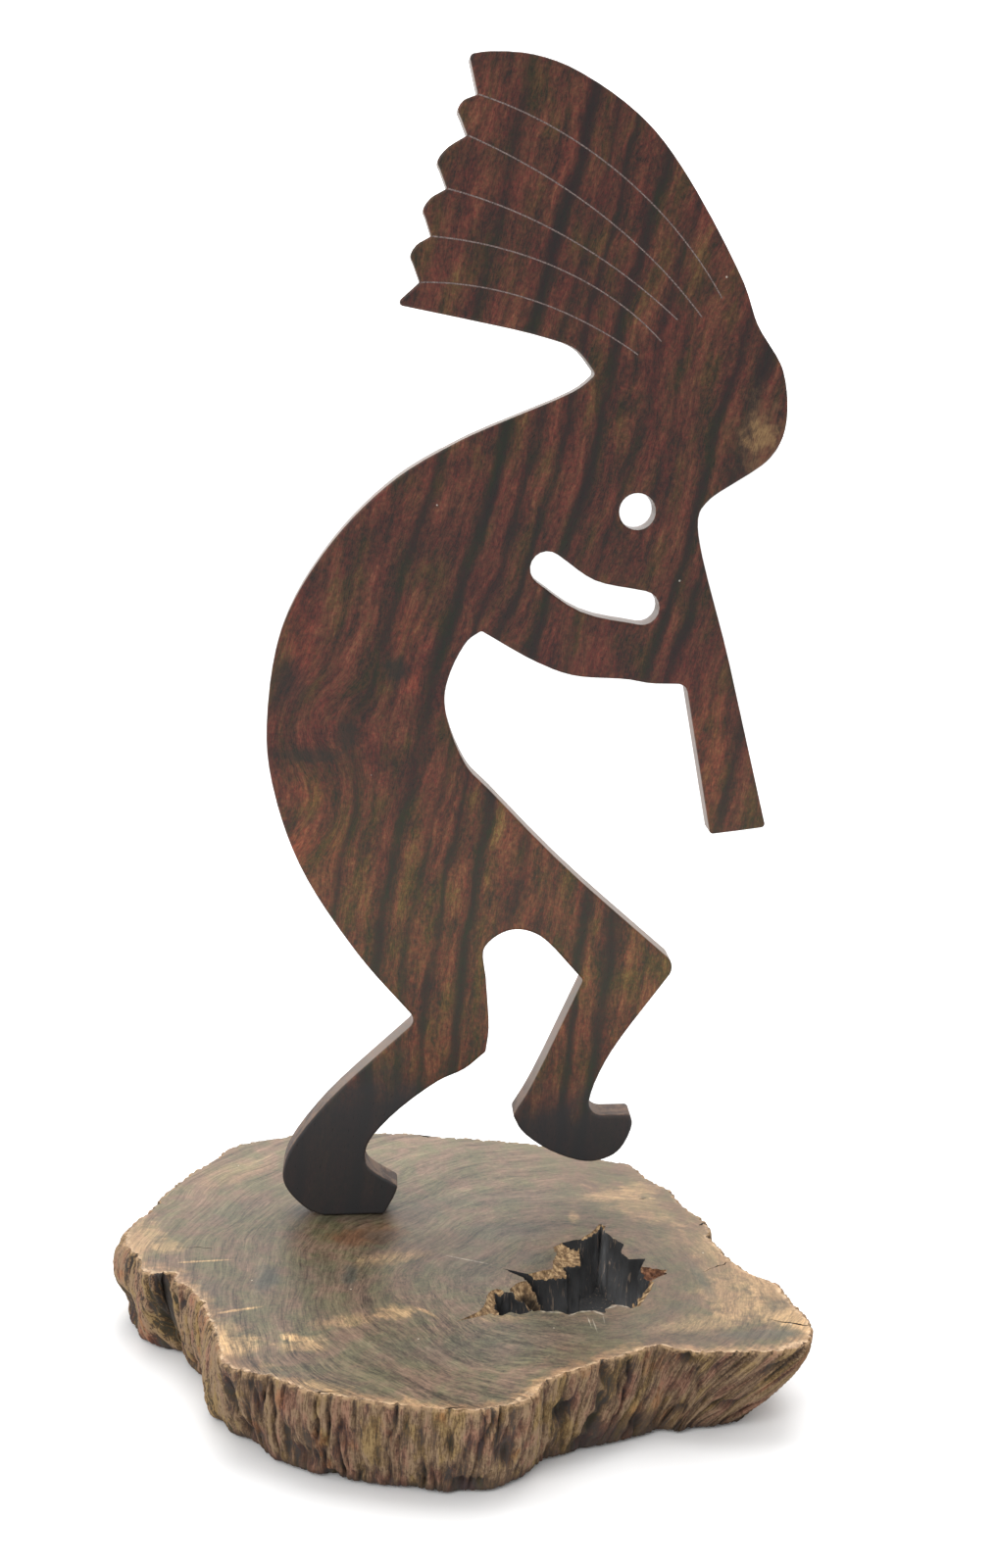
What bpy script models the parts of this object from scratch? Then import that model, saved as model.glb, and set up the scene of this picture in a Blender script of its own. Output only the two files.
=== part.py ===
"""A kokopelli flute player sawn in outline from a dark hardwood board, standing on a slice of gnarled log.

Metres, +Z up. The board faces -Y, and the origin is the middle of the slice's flat underside.
"""

import math

import bmesh
import bpy
from mathutils import Vector, noise

MM = 0.001

# Driving dimensions of the board
FIGURE_HEIGHT = 330 * MM
BOARD_THICKNESS = 9.5 * MM
ARRIS_RADIUS = 0.7 * MM
EYE_DIAMETER = 10.2 * MM
SLOT_WIDTH = 9.6 * MM
SCORE_WIDTH = 0.7 * MM
SCORE_DEPTH = 0.35 * MM

# Driving dimensions of the slice of log
SLICE_WIDTH = 192 * MM
SLICE_DEPTH = 176 * MM
SLICE_THICKNESS = 25 * MM
RIM_WEAR = 0.7 * MM
FISSURES = 62
FISSURE_DEPTH = 1.5 * MM
WALL_BULGE = 1.6 * MM
WOOD_UNDER_HOLLOW = 6 * MM

# How the two meet
REST_GAP = 0.3 * MM
FOOT_ACROSS = -29 / 192
FOOT_BACK = 29.75 / 176

# How finely the curves are followed
CHORD_ERROR = 0.04 * MM
STEPS_PER_SPAN = 12
SLICE_POINTS = 240
CUT_CLEARANCE = 2 * MM

# The saw pattern is drawn in millimetres for a figure this tall, from the middle of its sole
PATTERN_HEIGHT = 330

# A run is a smooth line of the outline through a few knots. It starts at a corner, which is rounded to the
# radius given before the knots, and the runs follow one another clockwise as seen from the front.
HEEL_AND_CALF = (2.0, [(-6, 0), (-10.8, 2.2), (-17.3, 10.6), (-16.5, 18.7), (-6, 33.9), (22.6, 60.8)])
RUMP_AND_BACK = (3.0, [
    (22.6, 60.8), (5.4, 81.9), (-10.7, 109), (-18.1, 134.4), (-18.8, 150.9), (-13.8, 177.5),
    (-0.8, 199.5), (17.2, 217.5), (36.4, 228.8), (68.5, 242.5), (73.4, 246.4),
])
NAPE = (1.3, [(73.4, 246.4), (67.8, 253), (58.7, 256.4), (18.6, 265)])
CREST_AND_NOSE = (1.4, [
    (38.8, 329.3), (44.6, 330), (56, 329.3), (68.5, 324.9), (89, 309.8), (113.1, 271.9),
    (117.8, 259.6), (125.3, 247), (126.3, 231.4), (122.2, 223.4), (104.8, 211.3), (102.5, 206.6),
    (112.5, 165.4), (124.2, 117.6),
])
FLUTE_MOUTH = (1.2, [(124.2, 117.6), (107.9, 115.7)])
FLUTE_BACK = (1.2, [(107.9, 115.7), (100.1, 160)])
ARM = (3.0, [(100.1, 160), (89.9, 160.3), (83.4, 161.5), (67.5, 162.9), (56.7, 167.1), (41.8, 175.8)])
BELLY_AND_THIGH = (1.0, [
    (41.8, 175.8), (37.6, 172.6), (31.4, 157), (37.2, 137.6), (44.2, 129.8), (65.1, 107.6), (99.2, 76.2),
])
RAISED_SHIN = (4.5, [(99.2, 76.2), (79, 47.8), (73.8, 35), (73.8, 29.8)])
RAISED_INSTEP = (4.0, [(73.8, 29.8), (86.1, 29.8)])
RAISED_SOLE = (1.2, [
    (86.1, 29.8), (86.6, 26.2), (82.3, 17.9), (74.4, 15), (62.9, 18.4), (53.7, 25.2), (50.9, 30.3),
])
RAISED_CALF = (1.6, [(50.9, 30.3), (56, 38.9), (71.5, 72.2)])
CROTCH_AND_THIGH = (1.5, [
    (71.5, 72.2), (57.8, 86.5), (49.8, 87.8), (42.6, 82.6), (43, 73), (43.8, 57.9), (42.9, 50.6),
])
SHIN = (1.4, [
    (42.9, 50.6), (36.6, 45.4), (28.7, 41.7), (14.4, 30.6), (7.4, 21.5), (7.5, 15.6), (16.6, 8.8),
])
TOE = (1.2, [(16.6, 8.8), (15.4, 5.5), (12.4, 0)])
SOLE = (1.2, [(12.4, 0), (-6, 0)])

# The crest's scalloped edge, from the bottom up
FEATHER_NOTCHES = [(25.3, 270.8), (28.5, 282.8), (32.8, 295.1), (38.3, 308.7), (41.1, 319.1)]
FEATHER_TIPS = [(18.6, 265), (22.9, 277.7), (26.4, 289.6), (30.3, 302), (35.8, 315.2), (38.8, 329.3)]
FEATHER_SHOULDER = 1.0
NOTCH_RADIUS = 0.4
TIP_RADIUS = 1.1

# The hole for the eye, and the middle line of the slot that parts the face from the raised arm
EYE_CENTRE = (85.4, 208.9)
ARM_SLOT = [(60.3, 193.2), (71.7, 185.4), (87.2, 181.9)]

# A score line runs from each notch into the crest: its far end, and its slope in degrees at the notch
# and at that end
SCORES = [
    ((84.8, 251.6), 2, -35),
    ((91.2, 255.1), -4, -47),
    ((95.5, 260.9), -13, -42),
    ((102.2, 261.6), -22, -52),
    ((107.6, 266.6), -16, -60),
]

# The slice's top edge, anticlockwise from the right, and its rotted hollow, in millimetres of a slice
# this size
DRAWN_WIDTH = 192
DRAWN_DEPTH = 176
RIM = [
    (94.7, -37), (92.5, -27), (86.5, -20), (78.4, 3), (79.4, 11), (73.4, 27), (71.6, 36),
    (65.5, 45), (61.8, 56.5), (53.7, 60.5), (32, 75), (8, 81.5), (-9, 86), (-47.4, 86.5),
    (-64.9, 78.9), (-69.7, 69.9), (-79.1, 54.2), (-91, 21.1), (-91.5, 10), (-87.5, 0),
    (-85, -7.5), (-79.5, -10.8), (-75.2, -8.4), (-75.8, -13.4), (-70.9, -18.2), (-60.9, -49.6),
    (-59.5, -60), (-45.2, -69), (-37, -75.2), (-13.5, -83.5), (7.6, -87.9), (19.1, -82.6),
    (24.8, -74.4), (47.3, -61.8), (54.5, -58.8), (61.7, -62.6), (91, -62.3), (95.7, -56), (96.5, -46.5),
]
HOLLOW = [
    (47.6, 14.6), (48.2, 6.5), (52.6, 0.9), (50.6, -6.2), (56.9, -8.9), (55.6, -14),
    (62.7, -16.7), (57.3, -22.2), (54.8, -28.3), (50.9, -35.8), (44.8, -35.4), (42.3, -40.2),
    (35.8, -38.2), (32.7, -40.6), (23.7, -37.1), (13.8, -39.4), (13.2, -30), (13.9, -25.7),
    (19.6, -26.9), (23.7, -21.9), (16.4, -12.9), (30.8, -9.2), (33.2, -2.8), (35.5, 1.8),
    (40.2, -1), (44, 6),
]
HOLLOW_HEART = (43, -19)
# Share of the way down, and share of its size at the top, at each level of the hollow
HOLLOW_LEVELS = [(0.12, 0.98), (0.4, 0.88), (0.75, 0.74), (1.0, 0.58)]
HOLLOW_POINTS = 78
HOLLOW_ROUGHNESS = 0.3

# How far the foot of the bark wall leans out past the rim, in millimetres, by bearing in degrees
WALL_LEAN = [
    (0, -7), (60, -5), (110, -3), (150, 0), (180, 0), (186, -6), (194, 0), (217, 0), (225, -8),
    (245, -3), (268, -3), (283, -5), (300, -1), (311, 1), (319, -8), (327, -14), (336, -9), (360, -7),
]
# Height up the wall, share of the lean still there, and share of the fissures' full depth
WALL_ROWS = [(0.0, 1.0, 0.7), (0.1, 0.94, 0.9), (0.36, 0.62, 1.0), (0.64, 0.3, 1.0), (0.88, 0.05, 0.6)]


def spline(knots, steps=STEPS_PER_SPAN):
    """Points along a smooth curve through the knots: a Catmull-Rom spline with even tension."""
    ends = [knots[0] * 2 - knots[1], *knots, knots[-1] * 2 - knots[-2]]
    points = []
    for a, b, c, d in zip(ends, ends[1:], ends[2:], ends[3:]):
        first, span, last = ((b - a).length ** 0.5, (c - b).length ** 0.5, (d - c).length ** 0.5)
        leaving = (b - a) / first - (c - a) / (first + span) + (c - b) / span
        arriving = (c - b) / span - (d - b) / (span + last) + (d - c) / last
        for step in range(steps):
            t = step / steps
            points.append(
                b * (2 * t**3 - 3 * t**2 + 1)
                + leaving * span * (t**3 - 2 * t**2 + t)
                + c * (3 * t**2 - 2 * t**3)
                + arriving * span * (t**3 - t**2)
            )
    return [*points, knots[-1]]


def cut_back(line, distance):
    """The line without its last stretch of that length."""
    left = distance
    for i in range(len(line) - 1, 0, -1):
        piece = (line[i] - line[i - 1]).length
        if piece > left:
            return [*line[:i], line[i].lerp(line[i - 1], left / piece)]
        left -= piece
    return line[:1]


def rounded_loop(runs):
    """One closed line through the runs, with each run's first corner rounded to its radius."""
    lines = [spline(knots) for _, knots in runs]
    loop = []
    for i, (radius, _) in enumerate(runs):
        before, after = lines[i - 1], lines[i]
        corner = after[0]
        arriving = corner - cut_back(before, radius)[-1]
        leaving = cut_back(after[::-1], radius)[-1] - corner
        cut = radius * math.tan(arriving.angle(leaving) / 2)
        lines[i - 1] = cut_back(before, cut)
        lines[i] = cut_back(after[::-1], cut)[::-1]
    for i in range(len(runs)):
        start, corner, end = lines[i - 1][-1], runs[i][1][0], lines[i][0]
        pull = math.cos((corner - start).angle(end - corner) / 2)
        for step in range(1, STEPS_PER_SPAN):
            t = step / STEPS_PER_SPAN
            shares = (1 - t) ** 2, 2 * t * (1 - t) * pull, t**2
            loop.append((start * shares[0] + corner * shares[1] + end * shares[2]) / sum(shares))
        loop += lines[i]
    return loop


def thinned(loop, error=CHORD_ERROR):
    """The closed loop with the points left out that lie within the error of a straight side."""
    closed = [*loop, loop[0]]
    kept = [0]
    while kept[-1] < len(loop):
        start = kept[-1]
        reach = start + 1
        for end in range(start + 2, len(closed)):
            side = closed[end] - closed[start]
            away = [abs(side.cross(p - closed[start])) for p in closed[start + 1 : end]]
            if max(away) > error * side.length:
                break
            reach = end
        kept.append(reach)
    return [closed[i] for i in kept[:-1]]


def outward(loop, i):
    """The way out of an anticlockwise loop at a point: a step this long moves both its sides out by one."""
    before = (loop[i] - loop[i - 1]).normalized()
    after = (loop[(i + 1) % len(loop)] - loop[i]).normalized()
    middle = (before + after).normalized()
    return Vector((middle.y, -middle.x)) / middle.dot(after)


def grown(loop, distance):
    """The anticlockwise loop moved outwards by a distance, or inwards where it is below zero."""
    return [point + outward(loop, i) * distance for i, point in enumerate(loop)]


def anticlockwise(loop):
    area = sum(a.cross(b) for a, b in zip(loop, loop[1:] + loop[:1]))
    return loop if area > 0 else loop[::-1]


def solid(name, rings, color, roughness):
    """A closed object through rings of equally many points, capped flat at the first and the last."""
    shape = bmesh.new()
    rows = [[shape.verts.new(point) for point in ring] for ring in rings]
    for low, high in zip(rows, rows[1:]):
        for i in range(len(low)):
            shape.faces.new((low[i - 1], low[i], high[i], high[i - 1]))
    shape.faces.new(rows[0])
    shape.faces.new(rows[-1])
    bmesh.ops.recalc_face_normals(shape, faces=shape.faces)
    mesh = bpy.data.meshes.new(name)
    shape.to_mesh(mesh)
    shape.free()
    mesh.shade_smooth()
    mesh.set_sharp_from_angle(angle=math.radians(35))
    made = bpy.data.objects.new(name, mesh)
    bpy.context.scene.collection.objects.link(made)
    wood = bpy.data.materials.new(name)
    wood.use_nodes = True
    principled = wood.node_tree.nodes["Principled BSDF"]
    principled.inputs["Base Color"].default_value = (*color, 1)
    principled.inputs["Roughness"].default_value = roughness
    mesh.materials.append(wood)
    return made


def cutter(name, rings):
    """A helper solid that only cuts another."""
    made = solid(name, rings, (0.8, 0.2, 0.2), 0.5)
    made.hide_render = True
    made.display_type = "WIRE"
    return made


def cut(target, tool):
    boolean = target.modifiers.new(tool.name, "BOOLEAN")
    boolean.operation = "DIFFERENCE"
    boolean.object = tool
    tool.parent = target


def on_pattern(point):
    """A point of the saw pattern at the figure's real size."""
    return Vector(point) * FIGURE_HEIGHT / PATTERN_HEIGHT


def pattern_runs(runs):
    scale = FIGURE_HEIGHT / PATTERN_HEIGHT
    return [(radius * scale, [on_pattern(knot) for knot in knots]) for radius, knots in runs]


def feather_runs():
    """The crest's scalloped edge: from each notch up to a rounded tip, then over a shoulder to the next."""
    runs = [(TIP_RADIUS, [FEATHER_TIPS[0], FEATHER_NOTCHES[0]])]
    for low, tip, high in zip(FEATHER_NOTCHES, FEATHER_TIPS[1:], FEATHER_NOTCHES[1:]):
        low_notch, point, high_notch = Vector(low), Vector(tip), Vector(high)
        across = (high_notch - point).orthogonal().normalized()
        shoulder = point.lerp(high_notch, 0.4) + across * FEATHER_SHOULDER
        runs.append((NOTCH_RADIUS, [low_notch, low_notch.lerp(point, 0.6), point, shoulder, high_notch]))
    top = Vector(FEATHER_NOTCHES[-1]).lerp(Vector(FEATHER_TIPS[-1]), 0.7)
    runs.append((NOTCH_RADIUS, [FEATHER_NOTCHES[-1], top, FEATHER_TIPS[-1]]))
    return runs


def upright(loop, y):
    """A flat loop of the pattern stood up at a depth y."""
    return [Vector((p.x, y, p.y)) for p in loop]


def worn_sides():
    """Depth into the board, and how far the arris is rubbed away there, from the front face to the back."""
    front = [(ARRIS_RADIUS * (1 - math.sin(turn)), ARRIS_RADIUS * (1 - math.cos(turn)))
             for turn in (math.pi / 2, math.pi / 4, 0)]
    return front + [(BOARD_THICKNESS - depth, worn) for depth, worn in reversed(front)]


def through_cutter(name, loop):
    """Cuts a hole of this outline through the board, with its arrises rubbed away too."""
    before, past = -CUT_CLEARANCE, BOARD_THICKNESS + CUT_CLEARANCE
    stations = [(before, ARRIS_RADIUS), *worn_sides(), (past, ARRIS_RADIUS)]
    return cutter(name, [upright(grown(loop, worn), depth) for depth, worn in stations])


def on_circle(centre, radius, turn):
    return centre + Vector((math.cos(turn), math.sin(turn))) * radius


def eye_loop():
    sides = 28
    return [on_circle(on_pattern(EYE_CENTRE), EYE_DIAMETER / 2, math.tau * i / sides) for i in range(sides)]


def round_end(centre, arm):
    """Half a turn anticlockwise about the centre, starting past the end of the arm."""
    sides = 9
    start = math.atan2(arm.y, arm.x)
    return [on_circle(centre, arm.length, start + math.pi * i / sides) for i in range(1, sides)]


def slot_loop():
    """A slot of constant width with round ends along its curved middle line."""
    half = SLOT_WIDTH / 2
    middle = spline([on_pattern(point) for point in ARM_SLOT], steps=4)
    before, after = [middle[0], *middle[:-1]], [*middle[1:], middle[-1]]
    along = [(b - a).normalized() for a, b in zip(before, after)]
    right = [Vector((way.y, -way.x)) * half for way in along]
    lower = [point + aside for point, aside in zip(middle, right)]
    upper = [point - aside for point, aside in zip(middle, right)]
    far_end = round_end(middle[-1], right[-1])
    near_end = round_end(middle[0], -right[0])
    return lower + far_end + upper[::-1] + near_end


def heading(slope):
    """Unit vector to the right at a slope in degrees."""
    return Vector((math.cos(math.radians(slope)), math.sin(math.radians(slope))))


def score_cutter(index):
    """A V-shaped score from a notch of the crest, fading out at its far end."""
    end, start_slope, end_slope = SCORES[index]
    notch, far = on_pattern(FEATHER_NOTCHES[index]), on_pattern(end)
    pull = (far - notch).length / 3
    leave = notch + heading(start_slope) * pull
    arrive = far - heading(end_slope) * pull
    stations = 12
    rings = []
    for i in range(-1, stations + 1):
        t = i / stations
        point = (notch * (1 - t) ** 3 + leave * 3 * t * (1 - t) ** 2
                 + arrive * 3 * t**2 * (1 - t) + far * t**3)
        along = (leave - notch) * (1 - t) ** 2 + (arrive - leave) * 2 * t * (1 - t) + (far - arrive) * t**2
        fade = min(1, (1.02 - t) * 6)
        # The flanks run on above the face for as far again, where the V is twice as wide
        aside = Vector((-along.y, along.x)).normalized() * SCORE_WIDTH * fade
        depth = SCORE_DEPTH * fade
        left, right = point + aside, point - aside
        rings.append([
            Vector((left.x, -depth, left.y)),
            Vector((right.x, -depth, right.y)),
            Vector((point.x, depth, point.y)),
        ])
    return cutter(f"score_{index + 1}", rings)


def figure():
    """The board: sawn outline, rubbed arrises, eye and slot cut through, and the crest scored in front."""
    runs = [
        HEEL_AND_CALF, RUMP_AND_BACK, NAPE, *feather_runs(), CREST_AND_NOSE, FLUTE_MOUTH, FLUTE_BACK,
        ARM, BELLY_AND_THIGH, RAISED_SHIN, RAISED_INSTEP, RAISED_SOLE, RAISED_CALF, CROTCH_AND_THIGH,
        SHIN, TOE, SOLE,
    ]
    outline = anticlockwise(thinned(rounded_loop(pattern_runs(runs))))
    rings = [upright(grown(outline, -worn), depth) for depth, worn in worn_sides()]
    board = solid("kokopelli_figure", rings, (0.085, 0.04, 0.028), 0.33)
    cut(board, through_cutter("eye", eye_loop()))
    cut(board, through_cutter("arm_slot", slot_loop()))
    for index in range(len(SCORES)):
        cut(board, score_cutter(index))
    board.location = (
        FOOT_ACROSS * SLICE_WIDTH,
        FOOT_BACK * SLICE_DEPTH - BOARD_THICKNESS / 2,
        SLICE_THICKNESS + REST_GAP,
    )


def on_slice(point):
    """A point drawn on the slice's top at the slice's real size."""
    return Vector((point[0] * SLICE_WIDTH / DRAWN_WIDTH, point[1] * SLICE_DEPTH / DRAWN_DEPTH))


def evenly(loop, count):
    """The closed loop as so many points at equal steps along it."""
    closed = [*loop, loop[0]]
    lengths = [(b - a).length for a, b in zip(closed, closed[1:])]
    step = sum(lengths) / count
    points, i, walked = [], 0, 0.0
    for k in range(count):
        while walked + lengths[i] < k * step:
            walked += lengths[i]
            i += 1
        points.append(closed[i].lerp(closed[i + 1], (k * step - walked) / lengths[i]))
    return points


def lean_at(point):
    """How far the wall's foot leans out on this bearing, in metres."""
    bearing = math.degrees(math.atan2(point.y, point.x)) % 360
    for (a, lean_a), (b, lean_b) in zip(WALL_LEAN, WALL_LEAN[1:]):
        if a <= bearing <= b:
            t = (bearing - a) / (b - a)
            t = t * t * (3 - 2 * t)
            return (lean_a + (lean_b - lean_a) * t) * MM
    return 0.0


def fissure(i, height):
    """How deep the wall is cut at a point round the slice, from 0 on a ridge to about 1 in a cleft."""
    turn = math.tau * i / SLICE_POINTS
    unevenness = 1.4 * math.sin(4 * turn) + 0.6 * math.sin(9 * turn + 1)
    sway = 0.35 * math.sin(3 * turn + 2.5 * height)
    ridge = abs(math.sin(FISSURES * turn / 2 + math.pi * (unevenness + sway)))
    strength = 1 + 0.5 * noise.noise(Vector((turn * 6.4, height * 1.5, 0.5)))
    return (1 - ridge) * strength


def wall_ring(rim, row):
    """One level of the slice's fissured wall."""
    height, lean_share, fissure_share = row
    ring = []
    for i, point in enumerate(rim):
        reach = lean_at(point) * lean_share + WALL_BULGE * math.sin(math.pi * height)
        moved = point * (1 + reach / point.length)
        moved -= outward(rim, i) * FISSURE_DEPTH * fissure_share * fissure(i, height)
        ring.append(Vector((moved.x, moved.y, height * SLICE_THICKNESS)))
    return ring


def hollow_cutter():
    """The rotted hollow: a ragged star at the top that closes in towards its heart."""
    heart = on_slice(HOLLOW_HEART)
    star = evenly([on_slice(point) for point in HOLLOW], HOLLOW_POINTS)
    depth = SLICE_THICKNESS - WOOD_UNDER_HOLLOW
    rings = [[Vector((*point, SLICE_THICKNESS + CUT_CLEARANCE)) for point in star]]
    for down, share in HOLLOW_LEVELS:
        ring = []
        for k, point in enumerate(star):
            unevenness = noise.noise(Vector((k * 0.9, down * 3.8, 3))) * HOLLOW_ROUGHNESS * (1 - share)
            reach = (point - heart) * share * (1 + unevenness)
            ring.append(Vector((*(heart + reach), SLICE_THICKNESS - down * depth)))
        rings.append(ring)
    return cutter("hollow", rings)


def base():
    """The slice: a flat sawn top and underside, a fissured wall between them, and the rotted hollow."""
    knots = [on_slice(p) for p in RIM]
    closed = spline([knots[-1], *knots, knots[0], knots[1]])
    rim = anticlockwise(evenly(closed[STEPS_PER_SPAN:-STEPS_PER_SPAN - 1], SLICE_POINTS))
    rings = [wall_ring(rim, row) for row in WALL_ROWS]
    worn_rim = SLICE_THICKNESS - RIM_WEAR
    rings.append([Vector((p.x, p.y, worn_rim)) for p in rim])
    rings.append([Vector((p.x, p.y, SLICE_THICKNESS)) for p in grown(rim, -RIM_WEAR)])
    log = solid("log_base", rings, (0.22, 0.165, 0.115), 0.5)
    cut(log, hollow_cutter())


def clear_scene():
    for old in list(bpy.data.objects):
        bpy.data.objects.remove(old)


clear_scene()
base()
figure()
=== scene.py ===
# %% [markdown]
# # A flute player sawn from a board, standing on a slice of log
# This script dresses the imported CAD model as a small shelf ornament: a board of dark streaked hardwood,
# sawn in outline, rubbed and oiled, on a slice of gnarled desert log with a rotted hollow. The CAD model
# is the fixed frame. Both of its solids are replaced by finer pieces of the same form, because wood is
# all in the small things: rubbed arrises, fissures, grain and rings.

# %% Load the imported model
import math

import bmesh
import bpy
import numpy as np
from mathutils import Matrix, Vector, noise
from mathutils.kdtree import KDTree


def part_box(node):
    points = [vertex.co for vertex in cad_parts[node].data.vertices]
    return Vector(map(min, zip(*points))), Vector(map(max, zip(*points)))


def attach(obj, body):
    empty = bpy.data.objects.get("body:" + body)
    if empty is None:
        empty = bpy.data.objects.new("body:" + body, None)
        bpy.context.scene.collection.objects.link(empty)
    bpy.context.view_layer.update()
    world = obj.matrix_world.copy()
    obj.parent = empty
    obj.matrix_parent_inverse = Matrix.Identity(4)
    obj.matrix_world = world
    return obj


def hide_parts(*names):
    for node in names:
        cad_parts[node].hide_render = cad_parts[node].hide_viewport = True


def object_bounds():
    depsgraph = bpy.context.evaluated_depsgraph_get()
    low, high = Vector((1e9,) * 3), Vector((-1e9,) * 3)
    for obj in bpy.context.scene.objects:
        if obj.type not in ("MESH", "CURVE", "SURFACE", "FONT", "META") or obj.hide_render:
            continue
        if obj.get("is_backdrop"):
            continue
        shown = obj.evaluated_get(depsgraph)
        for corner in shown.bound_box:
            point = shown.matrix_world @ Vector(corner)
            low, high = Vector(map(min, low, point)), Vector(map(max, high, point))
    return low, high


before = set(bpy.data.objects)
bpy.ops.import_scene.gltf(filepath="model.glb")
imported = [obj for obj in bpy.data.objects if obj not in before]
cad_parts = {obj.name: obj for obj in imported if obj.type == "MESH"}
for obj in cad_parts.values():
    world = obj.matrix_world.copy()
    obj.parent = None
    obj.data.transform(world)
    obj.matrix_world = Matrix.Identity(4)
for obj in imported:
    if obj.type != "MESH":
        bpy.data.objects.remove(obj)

cad_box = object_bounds()
MM = 0.001
NEAR = 0.02 * MM
print("CAD nodes:", sorted(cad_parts))

# %% [markdown]
# ## The camera
# The photo was taken from half a metre in front and a little above, with a short lens. A camera made
# first shows at once whether a piece has the right size and place.

# %% Set up the camera
CAMERA_PLACE = (-17.83 * MM, -532.8 * MM, 287.4 * MM)
CAMERA_TURN = (math.radians(76.87), 0, math.radians(-3.62))
SENSOR = 36
FOCAL_LENGTH = 46.125
NEAREST_SEEN = 10 * MM

bpy.ops.object.camera_add(location=CAMERA_PLACE, rotation=CAMERA_TURN)
camera = bpy.context.object
camera.name = "photo_camera"
camera.data.sensor_width = SENSOR
camera.data.lens = FOCAL_LENGTH
camera.data.clip_start = NEAREST_SEEN
bpy.context.scene.camera = camera
print("camera", [round(x, 3) for x in camera.location], "lens", camera.data.lens)

# %% [markdown]
# ## Helpers for modelling as by hand
# Operators work on whatever is selected, and loading the frame leaves the CAD nodes selected. So each
# step starts with nothing selected and picks its vertices, edges or faces by their place or direction, as
# one would box-select them in edit mode.


# %% Selecting things
def leave_edit():
    bpy.ops.object.mode_set(mode="OBJECT")


def select_none():
    """Clears the selection of whole objects."""
    bpy.ops.object.select_all(action="DESELECT")


def work_on(piece):
    """Makes one object the only one selected, in object mode."""
    if bpy.context.object and bpy.context.object.mode != "OBJECT":
        leave_edit()
    select_none()
    piece.select_set(True)
    bpy.context.view_layer.objects.active = piece


def edit(piece):
    work_on(piece)
    bpy.ops.object.mode_set(mode="EDIT")


def select_all():
    """In edit mode, selects the whole mesh."""
    bpy.ops.mesh.select_all(action="SELECT")


def extrude(x, y, z):
    bpy.ops.mesh.extrude_region_move(TRANSFORM_OT_translate={"value": (x, y, z)})


def face_outward():
    """Selects everything and turns the normals outward."""
    select_all()
    bpy.ops.mesh.normals_make_consistent(inside=False)


def pick(piece, mode, test):
    """In edit mode, selects the vertices, edges or faces that pass a test, and says how many."""
    bpy.ops.mesh.select_mode(type=mode)
    bpy.ops.mesh.select_all(action="DESELECT")
    shape = bmesh.from_edit_mesh(piece.data)
    parts = {"VERT": shape.verts, "EDGE": shape.edges, "FACE": shape.faces}[mode]
    chosen = [part for part in parts if test(part)]
    for part in chosen:
        part.select_set(True)
    shape.select_flush_mode()
    bmesh.update_edit_mesh(piece.data)
    return len(chosen)


# %% Copying a CAD node, and finishing a modifier
MERGE = 0.001 * MM
FLAT_FACE_WEIGHT = 80


def copy_of_node(node, name):
    """A copy of a CAD node with its loose triangles merged. The node itself stays as it is."""
    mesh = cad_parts[node].data.copy()
    mesh.materials.clear()
    piece = bpy.data.objects.new(name, mesh)
    bpy.context.scene.collection.objects.link(piece)
    edit(piece)
    select_all()
    bpy.ops.mesh.remove_doubles(threshold=MERGE)
    return piece


def join(pieces, name):
    """Joins the pieces into the first, under a new name."""
    work_on(pieces[0])
    for piece in pieces:
        piece.select_set(True)
    bpy.ops.object.join()
    pieces[0].name = name
    return pieces[0]


def cut_with(piece, tool, name, solver="MANIFOLD"):
    """Cuts the tool's shape out of the piece. The cut faces keep the tool's materials."""
    work_on(piece)
    boolean = piece.modifiers.new(name, "BOOLEAN")
    boolean.object = tool
    boolean.operation = "DIFFERENCE"
    boolean.solver = solver
    boolean.material_mode = "TRANSFER"
    bpy.ops.object.modifier_apply(modifier=name)
    bpy.data.objects.remove(tool)


def smooth_faces(piece, angle):
    """Smooth shading below an angle. Wide flat faces keep their own direction right to their edges."""
    work_on(piece)
    bpy.ops.object.shade_smooth_by_angle(angle=math.radians(angle))
    weighted = piece.modifiers.new("flat_faces_first", "WEIGHTED_NORMAL")
    weighted.keep_sharp = True
    weighted.weight = FLAT_FACE_WEIGHT
    bpy.ops.object.modifier_apply(modifier=weighted.name)


def triangles(piece):
    return sum(len(face.vertices) - 2 for face in piece.data.polygons)


# %% Reading, moving and roughening vertices
def points_of(piece):
    """The piece's vertices as rows of x, y, z in mm."""
    flat = np.empty(len(piece.data.vertices) * 3)
    piece.data.vertices.foreach_get("co", flat)
    return flat.reshape(-1, 3) / MM


def put_points(piece, points):
    """Puts the piece's vertices at rows of x, y, z in mm."""
    piece.data.vertices.foreach_set("co", (points * MM).ravel())
    piece.data.update()


def noise_over(points, cell, offset):
    """Smooth noise at each point. Its cells measure so many mm along x, y and z."""
    return np.array([noise.noise(Vector(p)) for p in points / cell + offset])


# %% [markdown]
# ## The board
# The real ornament is sawn from a board about 9.5 mm thick, and its sharp arrises are rubbed round. Its
# outline could be drawn again as a curve, but the CAD board already holds that saw line, so a copy of it
# is taken apart until only the line is left. Filled and extruded by the board's thickness, the line gives
# a clean plank, and a bevel in several steps rounds every arris, inside the eye and the slot too.

# %% Keep only the saw line
ARRIS = 0.7 * MM
FLAT = math.radians(0.1)
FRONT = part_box("kokopelli_figure")[0].y
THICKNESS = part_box("kokopelli_figure")[1].y - FRONT

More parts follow.
